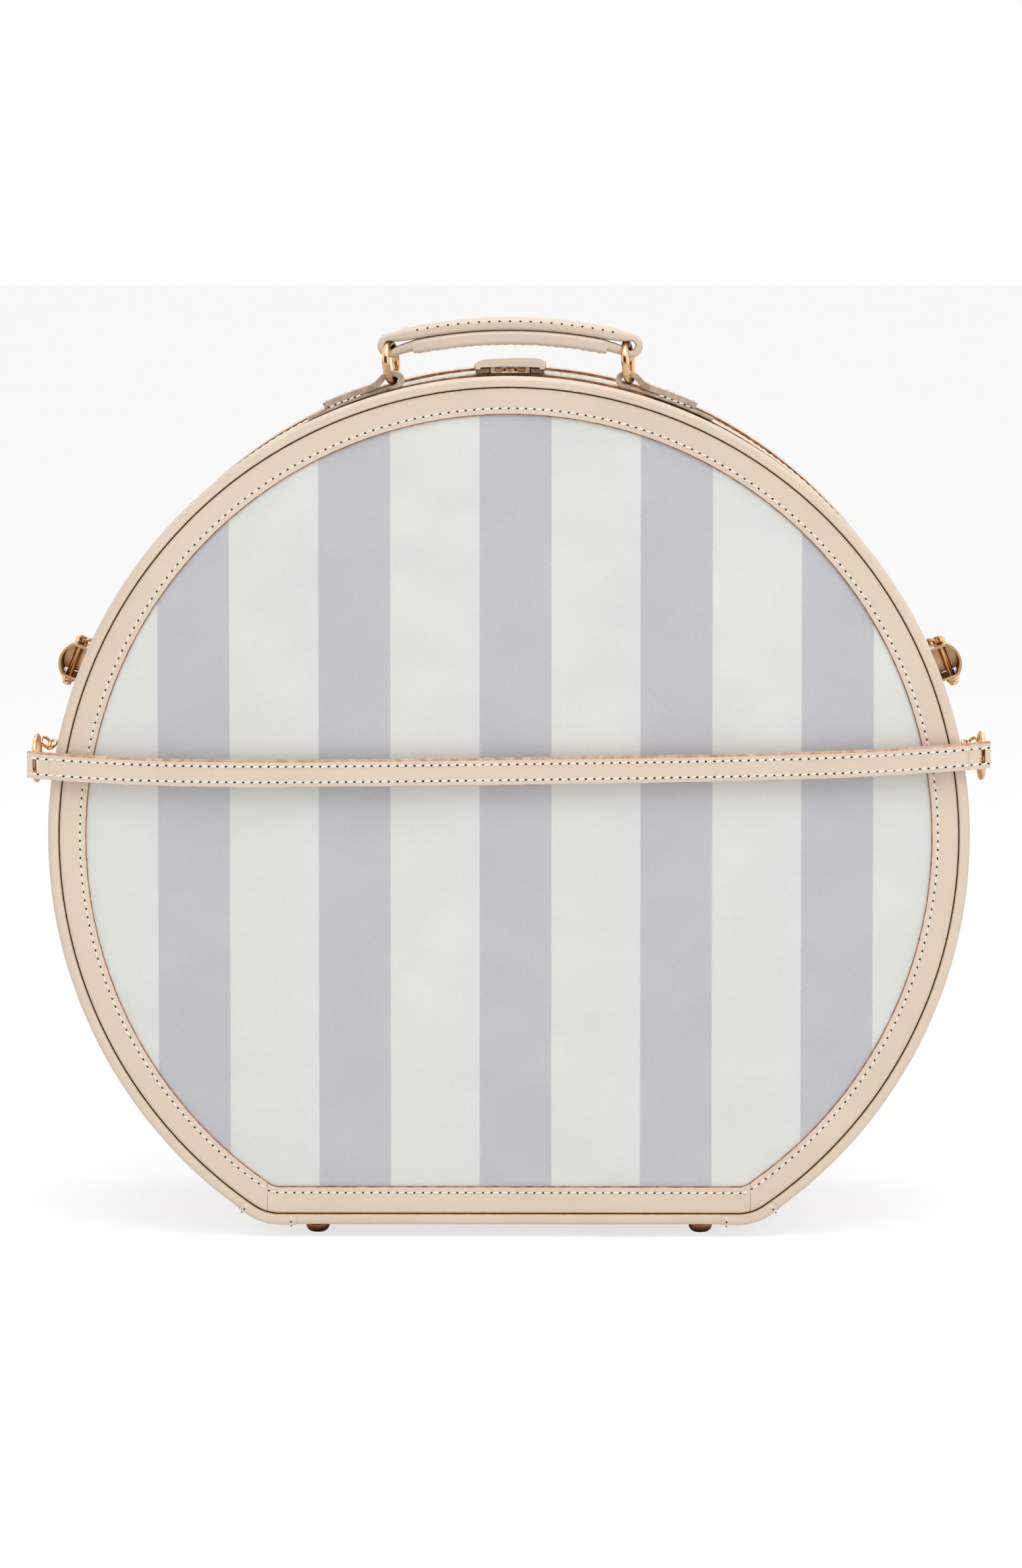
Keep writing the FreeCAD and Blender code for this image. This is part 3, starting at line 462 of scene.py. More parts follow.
def reach_x(x, inset):
    """Distance round the case at which a line inset from the edge comes down to x."""
    near, far = CASE_R * math.pi / 2, HALF_ROUND
    for _ in range(40):
        middle = (near + far) / 2
        if on_case(middle, inset, 0, BASE).x > x:
            near = middle
        else:
            far = middle
    return near


def sweep(name, side, profile, materials, start=None, end=None, uneven=None, end_slot=0):
    """Carries a profile of (inset, depth, slot) round the case; start and end may depend on inset."""
    closed = start is None
    if closed:
        start = lambda inset: -HALF_ROUND
        end = lambda inset: HALF_ROUND
    length = end(0) - start(0)
    count = max(2, math.ceil(length / OUTLINE_STEP))
    steps = count if closed else count + 1
    rows = []
    places = []
    for i in range(steps):
        row = []
        for inset, depth, _ in profile:
            s = start(inset) + (end(inset) - start(inset)) * i / count
            shift_in, shift_out = uneven(s, inset, depth) if uneven else (0.0, 0.0)
            row.append(on_case(s, inset + shift_in, depth + shift_out, side))
            places.append((s - BAND_STRIPE_START, depth))
        rows.append(row)
    obj = loft(name, rows, materials, [slot for _, _, slot in profile], closed, end_slot)
    set_cloth_place(obj, places)
    return obj


# ---------- stitches ----------
def resample(path, pitch):
    """(point, direction, up) at every pitch along a list of (point, up) pairs."""
    lengths = [0.0]
    for (a, _), (b, _) in zip(path, path[1:]):
        lengths.append(lengths[-1] + (b - a).length)
    count = max(1, round(lengths[-1] / pitch))
    pitch = lengths[-1] / count
    places = []
    index = 0
    for i in range(count):
        target = (i + 0.5) * pitch
        while lengths[index + 1] < target:
            index += 1
        (a, up_a), (b, up_b) = path[index], path[index + 1]
        share = (target - lengths[index]) / (lengths[index + 1] - lengths[index])
        places.append((a.lerp(b, share), (b - a).normalized(), up_a.lerp(up_b, share).normalized()))
    return places, pitch


THREAD_RINGS = ((-1.0, 0.35), (-0.82, 0.75), (-0.45, 0.98), (0.0, 1.0), (0.45, 0.98), (0.82, 0.75),
                (1.0, 0.35))
THREAD_SIDES = 6
THREAD_SHARE = 0.365
HOLE_SIDES = 8


def stitch_points(centre, along, across, up, half_length, radius):
    """One thread: a short rope that dives into the leather at both ends."""
    points = []
    for t, girth in THREAD_RINGS:
        middle = centre + along * (t * half_length) + up * (0.35 * radius - 0.70 * radius * t * t)
        for k in range(THREAD_SIDES):
            angle = 2 * math.pi * k / THREAD_SIDES
            points.append(middle + across * (math.cos(angle) * radius * girth)
                          + up * (math.sin(angle) * radius * 0.8 * girth))
    return points


def tube_faces(first, rings, sides):
    faces = []
    for ring in range(first, first + (rings - 1) * sides, sides):
        faces.extend(ring_faces(ring, ring + sides, sides))
    faces.append(tuple(first + k for k in range(sides)))
    faces.append(tuple(first + (rings - 1) * sides + k for k in range(sides)))
    return faces


def hole_points(centre, along, across, up, radius):
    """A needle hole: a thin lens pressed into the leather, coloured near-black as painted shade."""
    rim = []
    for k in range(HOLE_SIDES):
        a = 2 * math.pi * k / HOLE_SIDES
        rim.append(centre + along * (1.35 * radius * math.cos(a)) + across * (radius * math.sin(a)))
    return rim + [centre + up * 0.16, centre - up * 0.10]


def hole_faces(first):
    faces = []
    top = first + HOLE_SIDES
    bottom = top + 1
    for k in range(HOLE_SIDES):
        a, b = first + k, first + (k + 1) % HOLE_SIDES
        faces.append((a, b, top))
        faces.append((b, a, bottom))
    return faces


def stitch_row(name, path, body, slot="leather", pitch=STITCH_PITCH, radius=0.42, slant=8, thread=True):
    """Row of slanted stitches with a needle hole between each two."""
    places, pitch = resample(path, pitch)
    points = []
    faces = []
    slots = []
    for index, (centre, along, up) in enumerate(places):
        across = up.cross(along).normalized()
        turn = math.radians(slant + 3 * ripple(5, 9.0, index * pitch))
        lean = along * math.cos(turn) + across * math.sin(turn)
        lean_across = across * math.cos(turn) - along * math.sin(turn)
        if thread:
            faces.extend(tube_faces(len(points), len(THREAD_RINGS), THREAD_SIDES))
            slots.extend([0] * (len(faces) - len(slots)))
            points.extend(stitch_points(centre, lean, lean_across, up, THREAD_SHARE * pitch, radius))
        faces.extend(hole_faces(len(points)))
        slots.extend([1] * (len(faces) - len(slots)))
        points.extend(hole_points(centre + along * pitch / 2, along, across, up, radius))
    obj = new_object(name, points, faces, [THREAD, HOLE_SHADE], slots, sharp=180)
    return finish_piece(obj, body, slot)


# ---------- shells ----------
def disc(side, inset, level, swell, back, count, rings):
    """Points and faces of a sheet across the case: its front swells from a level, its back is flat."""
    points = []
    for ring_index in range(rings):
        share = 1 - ring_index / rings
        for i in range(count):
            edge = on_case(-HALF_ROUND + 2 * HALF_ROUND * i / count, inset, 0, side)
            x, z = edge.x * share, edge.z * share
            points.append(Vector((x, side * (level + swell(x, z)), z)))
    points.append(Vector((0, side * level, 0)))
    for edge in points[:count]:
        points.append(Vector((edge.x, side * back, edge.z)))
    faces = []
    inner = (rings - 1) * count
    for ring in range(0, inner, count):
        faces.extend(ring_faces(ring, ring + count, count))
    hub = rings * count
    rim = hub + 1
    for i in range(count):
        j = (i + 1) % count
        faces.append((inner + i, inner + j, hub))
        faces.append((i, j, rim + j, rim + i))
    faces.append(tuple(rim + i for i in range(count)))
    return points, faces


def face_cloth(side, shell):
    """Cloth over the flat panel, with the faint swell of a covered board."""
    def swell(x, z):
        return 0.12 * ripple(1 + side, 60, x, z) + 0.05 * ripple(3 + side, 18, x, z)

    points, faces = disc(side, WELT_W + 0.2, FABRIC_END, swell, PANEL_END + 0.02, 320, 40)
    obj = new_object(shell + "_face_cloth", points, faces, [STRIPES])
    set_cloth_place(obj, [(point.x - FACE_STRIPE_START, point.z) for point in points])
    finish_piece(obj, shell, "striped_fabric", shell + "_face_fabric")


def band_cloth(side, shell):
    """Cloth round the band, drawn tight but not dead flat."""
    outer = [(2.0, depth) for depth in range(1, 102, 5)]
    profile = in_slot(0, (2.5, 0.3), (2.0, 0.3), *outer, (2.0, WALL_END - 0.1), (2.5, WALL_END - 0.1))

    def uneven(s, inset, depth):
        return (0.10 * ripple(11 + side, 45, s, depth) if inset < 2.4 else 0.0, 0.0)

    obj = sweep(shell + "_band_cloth", side, profile, [STRIPES], uneven=uneven)
    finish_piece(obj, shell, "striped_fabric", shell + "_band_fabric")


def lining(side, shell):
    """Cotton pasted to the inside of the wall and of the panel."""
    inner = [(LINING_INSET, depth) for depth in range(100, 0, -6)]
    profile = in_slot(0, (6.5, 0.3), (6.5, WALL_END - 0.1), (LINING_INSET, WALL_END - 0.7), *inner,
                      (LINING_INSET, 0.3))

    def uneven(s, inset, depth):
        return (0.25 * ripple(21 + side, 26, s, depth) if inset > 7 else 0.0, 0.0)

    def pucker(x, z):
        return -0.3 * ripple(25 + side, 35, x, z)

    tube = sweep(shell + "_lining_tube", side, profile, [LINING], uneven=uneven)
    finish_piece(tube, shell, "lining", shell + "_lining")
    points, faces = disc(side, LINING_FLOOR_INSET, WALL_END - 0.9, pucker, WALL_END - 0.1, 240, 26)
    finish_piece(new_object(shell + "_lining_floor", points, faces, [LINING]), shell, "lining")


def seam_binding(side, shell):
    """Leather round the mouth of one shell, with a raw outer edge and one row of stitches."""
    profile = in_slot(LEATHER, (1.2, 0.25), (0.9, 0.45), (0.8, 0.9), (0.72, 6), (0.72, 14), (0.8, 20.2),
                      (1.0, 20.8), (1.0, 21.3), (0.8, 21.9), (0.8, 23.4))
    profile = [(2.0, 0.25, SUEDE), *profile, (0.95, 23.8, EDGE), (2.0, 24.0, SUEDE)]

    def uneven(s, inset, depth):
        edge = 0.12 * ripple(31 + side, 7, s) if depth > 23 else 0.0
        return (0.05 * ripple(33 + side, 20, s, depth), edge)

    obj = sweep(shell + "_binding", side, profile, BINDING_SET, uneven=uneven)
    finish_piece(obj, shell, "leather", shell + "_seam_binding")
    path = seam_path(0.92, BINDING_W - STITCH_FROM_EDGE, side, -HALF_ROUND + 2, HALF_ROUND - 2)
    stitch_row(shell + "_binding_stitches", path, shell)


def seam_path(inset, depth, side, start, end):
    """(point, outward normal) round the band."""
    count = math.ceil((end - start) / OUTLINE_STEP)
    path = []
    for i in range(count + 1):
        s = start + (end - start) * i / count
        _, _, normal_x, normal_z = edge_at(s)
        path.append((on_case(s, inset, depth, side), Vector((normal_x, 0, normal_z))))
    return path


def face_path(inset, depth, side, start, end):
    """(point, outward normal) round the flat face."""
    path = seam_path(inset, depth, side, start, end)
    return [(point, Vector((0, side, 0))) for point, _ in path]


def trim(side, shell):
    """Flat leather round the face: a long curved piece and a straight strip along the foot."""
    top = TRIM_TOP
    profile = in_slot(EDGE, (TRIM_INNER, FABRIC_END), (TRIM_INNER, top - 0.7))
    profile += in_slot(LEATHER, (TRIM_INNER - 0.5, top - 0.12), (TRIM_INNER - 1.0, top), (15.7, top),
                       (15.2, top - 0.16), (14.6, top - 0.16), (14.1, top), (12.0, top + 0.1),
                       (9.0, top + 0.14), (7.0, top + 0.08), (5.9, top))
    profile += in_slot(EDGE, (5.55, top - 0.2))
    # painted shade: the groove beside the welt is coloured near-black instead of being left to the light
    profile += in_slot(SHADE_SLOT, (5.42, top - 0.6), (5.35, FABRIC_END + 0.4), (5.02, FABRIC_END + 0.3),
                       (5.02, FABRIC_END + 0.05), (5.7, FABRIC_END))

    def uneven(s, inset, depth):
        fray = 0.16 * ripple(41 + side, 4, s) if inset > 17 else 0.0
        return (fray, 0.05 * ripple(43 + side, 30, s, 4 * inset))

    def joint(inset):
        return reach_x(TRIM_JOINT_X, inset)

    arc = sweep(shell + "_trim_band", side, profile, TRIM_SET, lambda inset: -joint(inset) + 0.15,
                lambda inset: joint(inset) - 0.15, uneven, EDGE)
    finish_piece(arc, shell, "leather", shell + "_trim_arc")
    foot = sweep(shell + "_trim_strip", side, profile, TRIM_SET, lambda inset: joint(inset) + 0.15,
                 lambda inset: 2 * HALF_ROUND - joint(inset) - 0.15, uneven, EDGE)
    finish_piece(foot, shell, "leather", shell + "_trim_foot")
    row = TRIM_INNER - STITCH_FROM_EDGE
    end = joint(row)
    path = face_path(row, top - 0.1, side, -end + 2, end - 2)
    stitch_row(shell + "_trim_stitches", path, shell)
    path = face_path(row, top - 0.1, side, end + 2, 2 * HALF_ROUND - end - 2)
    stitch_row(shell + "_strip_stitches", path, shell)


def welt_profile(proud):
    """Rounded leather cord over the edge, raw where it is cut off on the band."""
    skin = in_slot(LEATHER, (4.6, 107.75 + proud), (3.4, 108.0 + proud), (2.3 - proud, 108.0 + proud),
                   (1.42 - proud, 107.82 + proud), (0.67 - proud, 107.33 + proud),
                   (0.18 - proud, 106.58 + proud), (-proud, 105.7), (-proud, 103.4), (0.3 - proud, 102.5))
    # painted shade: the inner side of the cord, down in the groove, is coloured near-black
    return [(4.95, WALL_END, SHADE_SLOT), (4.98, 106.6, SHADE_SLOT), (4.95, 107.2, LIP), *skin,
            (0.75 - proud, WALL_END + 0.1 - proud, EDGE), (2.0, WALL_END - proud, SUEDE)]


def welt(side, shell):
    def uneven(s, inset, depth):
        puff = 0.10 * ripple(51 + side, 24, s) + 0.05 * ripple(53 + side, 8, s)
        return (puff if inset < 3 else 0.0, 0.04 * ripple(55 + side, 12, s, 5 * inset))

    def at(value):
        return lambda inset: value

    sleeve_end = HALF_ROUND - SLEEVE_FOOT_X
    arc = sweep(shell + "_welt_cord", side, welt_profile(0), BINDING_SET,
                at(-SLEEVE_START), at(SLEEVE_START), uneven)
    finish_piece(arc, shell, "leather", shell + "_welt_arc")
    foot = sweep(shell + "_welt_foot_cord", side, welt_profile(0), BINDING_SET,
                 at(sleeve_end), at(2 * HALF_ROUND - sleeve_end), uneven)
    finish_piece(foot, shell, "leather", shell + "_welt_foot")
    for sign, hand in ((1, "right"), (-1, "left")):
        ends = sorted((sign * SLEEVE_START, sign * sleeve_end))
        sleeve = sweep(shell + "_sleeve_" + hand, side, welt_profile(0.3), BINDING_SET,
                       at(ends[0]), at(ends[1]), uneven, EDGE)
        finish_piece(sleeve, shell, "leather", shell + "_welt_sleeves")
        for number, s in enumerate((ends[0] + 2.2, ends[1] - 2.2)):
            path = cross_path(s, side)
            stitch_row("%s_sleeve_%s_stitches_%d" % (shell, hand, number), path, shell, pitch=2.6)


def cross_path(s, side):
    """(point, outward normal) over the rounded edge of the case, across the welt."""
    _, _, normal_x, normal_z = edge_at(s)
    outward = Vector((normal_x, 0, normal_z))
    face = Vector((0, side, 0))
    path = [(on_case(s, 4.4, 108.15, side), face), (on_case(s, 2.4, 108.3, side), face)]
    for degrees in (30, 60):
        turn = math.radians(degrees)
        inset = 2.3 - 2.6 * math.sin(turn)
        path.append((on_case(s, inset, 105.7 + 2.6 * math.cos(turn), side),
                     face * math.cos(turn) + outward * math.sin(turn)))
    path.append((on_case(s, -0.3, 105.5, side), outward))
    path.append((on_case(s, -0.3, 102.8, side), outward))
    return path


def register_lip():
    """Covered inner ring of the base that stands into the lid."""
    profile = ((7.3, 16.0), (10.5, 16.0), (10.5, -5.2), (10.2, -5.8), (9.4, -6.0), (8.6, -5.8), (8.3, -5.2),
               (8.3, 0.3), (7.3, 0.5))
    dense = []
    for (inset, depth), (next_inset, next_depth) in zip(profile, profile[1:] + profile[:1]):
        pieces = max(1, round(abs(next_depth - depth) / 4))
        for i in range(pieces):
            share = i / pieces
            dense.append((inset + (next_inset - inset) * share, depth + (next_depth - depth) * share, 0))

    def uneven(s, inset, depth):
        return (0.12 * ripple(61, 22, s, depth) if inset > 10 else 0.0, 0.0)

    obj = sweep("lip_cover", BASE, dense, [LINING], uneven=uneven)
    finish_piece(obj, "base", "lip_board", "register_lip")


# ---------- straps ----------
def strap_section():
    """Cross-section of a strap as (across, out, slot) in half widths: face, cut edge, flesh side."""
    face = [(a, 1.0) for a in (-0.93, -0.75, -0.5, -0.25, 0, 0.25, 0.5, 0.75, 0.93)]
    right = [(0.985, 0.85), (1.0, 0.5), (1.0, 0.0), (1.0, -0.5), (0.985, -0.85)]
    under = [(a, -1.0) for a in (0.93, 0.5, 0, -0.5)]
    left = [(-a, b) for a, b in reversed(right)]
    return (in_slot(LEATHER, *face) + in_slot(EDGE, *right) + in_slot(SUEDE, *under)
            + in_slot(EDGE, (-0.93, -1.0), *left[:-1]) + in_slot(LEATHER, left[-1]))


def round_section(sides, width_power, height_power):
    """Cross-section of a padded strap: a soft rounded box with a flatter underside."""
    points = []
    for i in range(sides):
        angle = 2 * math.pi * (i + 0.5) / sides
        c, s = math.cos(angle), math.sin(angle)
        power = height_power if s > 0 else FLAT_POWER
        across = math.copysign(abs(c) ** width_power, c)
        out = math.copysign(abs(s) ** power, s)
        points.append((across, out, LEATHER))
    return points


def ribbon(name, stations, section, materials, fray=0.0, end_slot=EDGE, sharp=50):
    """Strap through stations of (centre, across, out, half width, half thickness)."""
    rows = []
    travelled = 0.0
    previous = stations[0][0]
    for centre, across, out, half_width, half_thickness in stations:
        travelled += (centre - previous).length
        previous = centre
        row = []
        for a, b, _ in section:
            ragged = fray * ripple(71 + round(a), 3.0, travelled, b) if abs(a) > 0.98 else 0.0
            row.append(centre + across * (a * half_width + ragged) + out * (b * half_thickness))
        rows.append(row)
    return loft(name, rows, materials, [slot for _, _, slot in section], end_slot=end_slot, sharp=sharp)


def smooth_path(knots, step):
    """Catmull-Rom curve through rows of numbers, sampled about every step mm."""
    samples = []
    padded = [knots[0]] + list(knots) + [knots[-1]]
    for p0, p1, p2, p3 in zip(padded, padded[1:], padded[2:], padded[3:]):
        span = math.hypot(p2[0] - p1[0], p2[1] - p1[1])
        pieces = max(1, math.ceil(span / step))
        for i in range(pieces):
            t = i / pieces
            samples.append([0.5 * (2 * b + (c - a) * t + (2 * a - 5 * b + 4 * c - d) * t * t
                                   + (3 * b - a - 3 * c + d) * t ** 3)
                            for a, b, c, d in zip(p0, p1, p2, p3)])
    samples.append(list(knots[-1]))
    return samples


def upright_stations(samples, y, flip=1):
    """Stations of a strap whose line lies in the XZ plane at y; samples are x, z, width, thickness."""
    stations = []
    last = len(samples) - 1
    for i, (x, z, half_width, half_thickness) in enumerate(samples):
        before = samples[max(i - 1, 0)]
        after = samples[min(i + 1, last)]
        along = Vector((after[0] - before[0], 0, after[1] - before[1])).normalized()
        out = Vector((-along.z, 0, along.x)) * flip
        stations.append((Vector((x, y, z)), Vector((0, 1, 0)), out, half_width, half_thickness))
    return stations


FLAT_POWER = 0.4
HANDLE_TOP_R = 237.7
HANDLE_HOLES_R = 238.9
HANDLE_HOLES_X = 49
GRIP_R = 231.2
GRIP_SEAM_R = 227.85
GRIP_HALF_W = 8.7
GRIP_HALF_T = 3.42
HANDLE_FOLD_X = 57.2
HANDLE_FOLD_Z = 227.2
HANDLE_FOLD_R = 4.0
HANDLE_RING_R = 8.9
HANDLE_RING_WIRE = 1.9
TAB_LOW_T = 1.5
TAB_HIGH_T = 3.3
# the fold round the ring: (x, height above the lowest wire of the ring, half thickness)
TAB_FOLD = ((57.8, -3.35, 0.75), (55.4, -3.0, 0.8), (52.9, -2.0, 1.1), (51.6, -0.4, 1.35),
            (51.7, 1.4, 1.4), (52.9, 2.8, 1.4), (55.0, 3.5, 1.4), (57.6, 3.2, 1.4),
            (60.2, 1.75, 1.45), (62.8, -1.1, 1.55), (65.7, -2.9, 1.6))


def handle_line():
    """Right half of the handle strap, from its crown over the fold to the end under the grip."""
    knots = []
    for x in (0, 12, 24, 36, 44):
        knots.append((x, math.sqrt(HANDLE_TOP_R ** 2 - x * x), 9.0, 3.1))
    knots.append((49.5, 232.6, 8.6, 3.0))
    knots.append((53.5, 231.6, 7.8, 2.5))
    for degrees in (75, 45, 15, -10, -40, -70, -100):
        angle = math.radians(degrees)
        knots.append((HANDLE_FOLD_X + HANDLE_FOLD_R * math.cos(angle),
                      HANDLE_FOLD_Z + HANDLE_FOLD_R * math.sin(angle), 5.8, 1.8))
    knots.append((52.8, 225.0, 6.6, 2.2))
    knots.append((48.5, 226.4, 7.6, 2.4))
    knots.append((44.5, 227.5, 8.3, 2.5))
    return smooth_path(knots, 1.2)


def handle():
    """Padded strap over a padded grip, hung on two rings."""
    half = handle_line()
    line = [[-x, z, w, t] for x, z, w, t in reversed(half)] + half[1:]
    strap = ribbon("handle_strap_leather", upright_stations(line, HANDLE_Y), round_section(32, 0.5, 0.8),
                   LEATHER_SET)
    finish_piece(strap, "handle", "leather", "handle_strap")
    handle_grip()
    handle_stitches()
    ring_z = RING_LOW_Z + HANDLE_RING_R + HANDLE_RING_WIRE
    for sign, hand, twist, lean, shift in ((1, "right", -9, -5, 0.0), (-1, "left", -14, -4, -0.6)):
        centre = Vector((sign * RING_X + shift, HANDLE_Y, ring_z))
        ring = wire_ring("ring_" + hand, centre, HANDLE_RING_R, HANDLE_RING_WIRE, twist, lean)
        finish_piece(ring, "handle", "gold_metal", "handle_ring_" + hand)


def handle_grip():
    """Padded grip, a little pinched at its sewn ends and slightly uneven below."""
    line = []
    steps = 90
    for i in range(steps + 1):
        x = GRIP_END_X * (2 * i / steps - 1)
        from_end = min(i, steps - i) / steps
        pinch = 0.92 + 0.08 * min(1.0, from_end * 25)
        sag = 0.35 * ripple(81, 7, x)
        z = math.sqrt(GRIP_R ** 2 - x * x) + sag / 2
        line.append([x, z, GRIP_HALF_W * pinch, (GRIP_HALF_T - sag / 2) * pinch])
    # painted shade: the grip's end caps, tucked against the strap, are coloured near-black
    grip = ribbon("handle_grip_leather", upright_stations(line, HANDLE_Y), round_section(32, 0.42, 0.4),
                  [PINK_CREAM, PAINTED_GAP_SHADE], end_slot=1, sharp=60)
    finish_piece(grip, "handle", "leather", "handle_grip")


RING_STEPS = 72
WIRE_SIDES = 20


def wire_ring(name, centre, radius, wire, twist, lean):
    """Round wire ring standing in the YZ plane, twisted about the vertical and leaning sideways."""
    turn = Matrix.Rotation(math.radians(lean), 3, "Y") @ Matrix.Rotation(math.radians(twist), 3, "Z")
    rows = []
    for i in range(RING_STEPS):
        angle = 2 * math.pi * i / RING_STEPS
        outward = turn @ Vector((0, math.cos(angle), math.sin(angle)))
        sideways = turn @ Vector((1, 0, 0))
        row = []
        for k in range(WIRE_SIDES):
            around = 2 * math.pi * k / WIRE_SIDES
            reach = radius + wire * math.cos(around)
            row.append(centre + outward * reach + sideways * (wire * math.sin(around)))
        rows.append(row)
    return loft(name, rows, [GOLD], [0] * WIRE_SIDES, closed=True, sharp=180)


def handle_stitches():
    """Needle holes along the side of the strap, and the seams under the grip."""
    steps = 60
    for sign, hand in ((-1, "back"), (1, "front")):
        path = []
        seam = []
        for i in range(steps + 1):
            x = HANDLE_HOLES_X * (2 * i / steps - 1)
            out = Vector((x, 0, math.sqrt(240.0 ** 2 - x * x))).normalized()
            facing = (out * 0.2 + Vector((0, sign, 0))).normalized()
            path.append((out * HANDLE_HOLES_R + Vector((0, HANDLE_Y + sign * 8.93, 0)), facing))
            x = (GRIP_END_X - 1.5) * (2 * i / steps - 1)
            out = Vector((x, 0, math.sqrt(230.0 ** 2 - x * x))).normalized()
            place = out * (GRIP_SEAM_R + 0.2 * ripple(83, 9, x)) + Vector((0, HANDLE_Y + sign * 3.2, 0))
            seam.append((place, -out))
        stitch_row("handle_holes_" + hand, path, "handle", thread=False, radius=0.42, pitch=5.0)
        stitch_row("grip_stitches_" + hand, seam, "handle", radius=0.36)


def handle_tab(sign, hand):
    """Leather strip sewn to the band, folded round the foot of the handle ring and back on itself."""
    low_r = BINDING_R + 0.1 + TAB_LOW_T / 2
    high_r = low_r + (TAB_LOW_T + TAB_HIGH_T) / 2 + 0.12
    knots = []
    for x in (96.0, 90, 84, 78, 73, 68, 63, 60):
        knots.append((x, math.sqrt(low_r ** 2 - x * x), tab_half_width(x), TAB_LOW_T / 2))
    for x, above_ring, half_t in TAB_FOLD:
        half_w = 4.6 + max(0.0, x - 60) * 0.35
        knots.append((x, RING_LOW_Z + HANDLE_RING_WIRE + above_ring, half_w, half_t))
    for x, lift in ((69, 0.15), (74, 0.0), (80, 0.1), (85, 0.05), (88.3, -0.05)):
        knots.append((x, math.sqrt(high_r ** 2 - x * x) + lift, tab_half_width(x), TAB_HIGH_T / 2))
    line = smooth_path(knots, 1.0)
    if sign < 0:
        line = [[-x, z, w, t] for x, z, w, t in line]
    stations = upright_stations(line, HANDLE_Y, flip=sign)
    tab = ribbon("handle_tab_leather_" + hand, stations, strap_section(), TAB_SET, fray=0.3,
                 end_slot=SUEDE)
    finish_piece(tab, "base", "leather", "handle_tab_" + hand)
    for row, offset in (("back", -1), ("front", 1)):
        top = []
        crack = []
        for i in range(21):
            x = 71 + 15.5 * i / 20
            out = Vector((x, 0, math.sqrt(high_r ** 2 - x * x))).normalized()
            outward = Vector((sign * out.x, 0, out.z))
            point = out * (high_r + TAB_HIGH_T / 2)
            top.append((Vector((sign * point.x, HANDLE_Y + offset * 6.6, point.z)), outward))
            point = out * (low_r + TAB_LOW_T / 2 + 0.1)
            side_y = HANDLE_Y + offset * (tab_half_width(x) - 0.1)
            crack.append((Vector((sign * point.x, side_y, point.z)), Vector((0, offset, 0))))
        stitch_row("handle_tab_stitches_%s_%s" % (hand, row), top, "base", pitch=3.4)
        stitch_row("handle_tab_crack_%s_%s" % (hand, row), crack, "base", pitch=3.4, radius=0.4)


def tab_half_width(x):
    """The tab widens from a narrow nose at the ring to a broad sewn end."""
    return 4.2 + 4.8 * soft_step(x, 62, 73)


# ---------- closure ----------
CLOSURE_TOP_R = 220.8
CLOSURE_UNDER_R = 217.4
CLOSURE_HALF_W = 17.0
CLOSURE_HEM_Z = 216.1
FLAP_INNER_X, FLAP_OUTER_X = 9.9, 16.3
FLAP_LOW_Z, FLAP_HIGH_Z = 214.5, 216.9


def closure():
    """Leather tab from the lid over the lock, in one piece with its riveted root."""
    stations = []
    near = CLOSURE_LOW.y
    for y in (near, near + 0.5, near + 1.4, near + 3, -20, -15, -10, -5, 0, 2.5, 4, 5.5, 7, 8.5, 10, 13,
              16, ROOT_END_Y):
        stations.append(closure_row(y, near))
    section_slots = [LEATHER] * 13 + [EDGE] * 3 + [SUEDE] * 11 + [EDGE] * 3
    obj = loft("closure_leather", stations, CLOSURE_SET, section_slots)
    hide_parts("closure_tab", "closure_root")
    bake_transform(obj)
    for sign, hand in ((1, "right"), (-1, "left")):
        closure_flap(sign, hand)


def closure_flap(sign, hand):
    """Suede fold inside the tab, beside the lock."""
    rows = []
    for y in (CLOSURE_LOW.y + 0.9, CLOSURE_LOW.y + 1.3, -22, -16, -10, -6.5):
        ragged = 0.25 * ripple(85 + sign, 4, y)
        squeeze = 0.35 if y < CLOSURE_LOW.y + 1 else 0.0
        inner, outer = FLAP_INNER_X + squeeze, FLAP_OUTER_X - squeeze
        low, high = FLAP_LOW_Z + squeeze + ragged, FLAP_HIGH_Z - squeeze
        outline_points = []
        for x, z in ((inner, low), (inner + 1.4, low - 0.25), (inner + 3, low - 0.3), (outer, low - 0.45),
                     (outer, (low + high) / 2 - 0.4), (outer, high - 0.5), (inner + 3, high - 0.35),
                     (inner + 1.4, high - 0.2), (inner, high - 0.1), (inner - 0.15, (low + high) / 2)):
            outline_points.append(Vector((sign * x, y, z)))
        rows.append(outline_points)
    flap = loft("closure_flap_" + hand, rows, [FLAP_SUEDE], [0] * 10, sharp=60)
    finish_piece(flap, "closure", "leather")


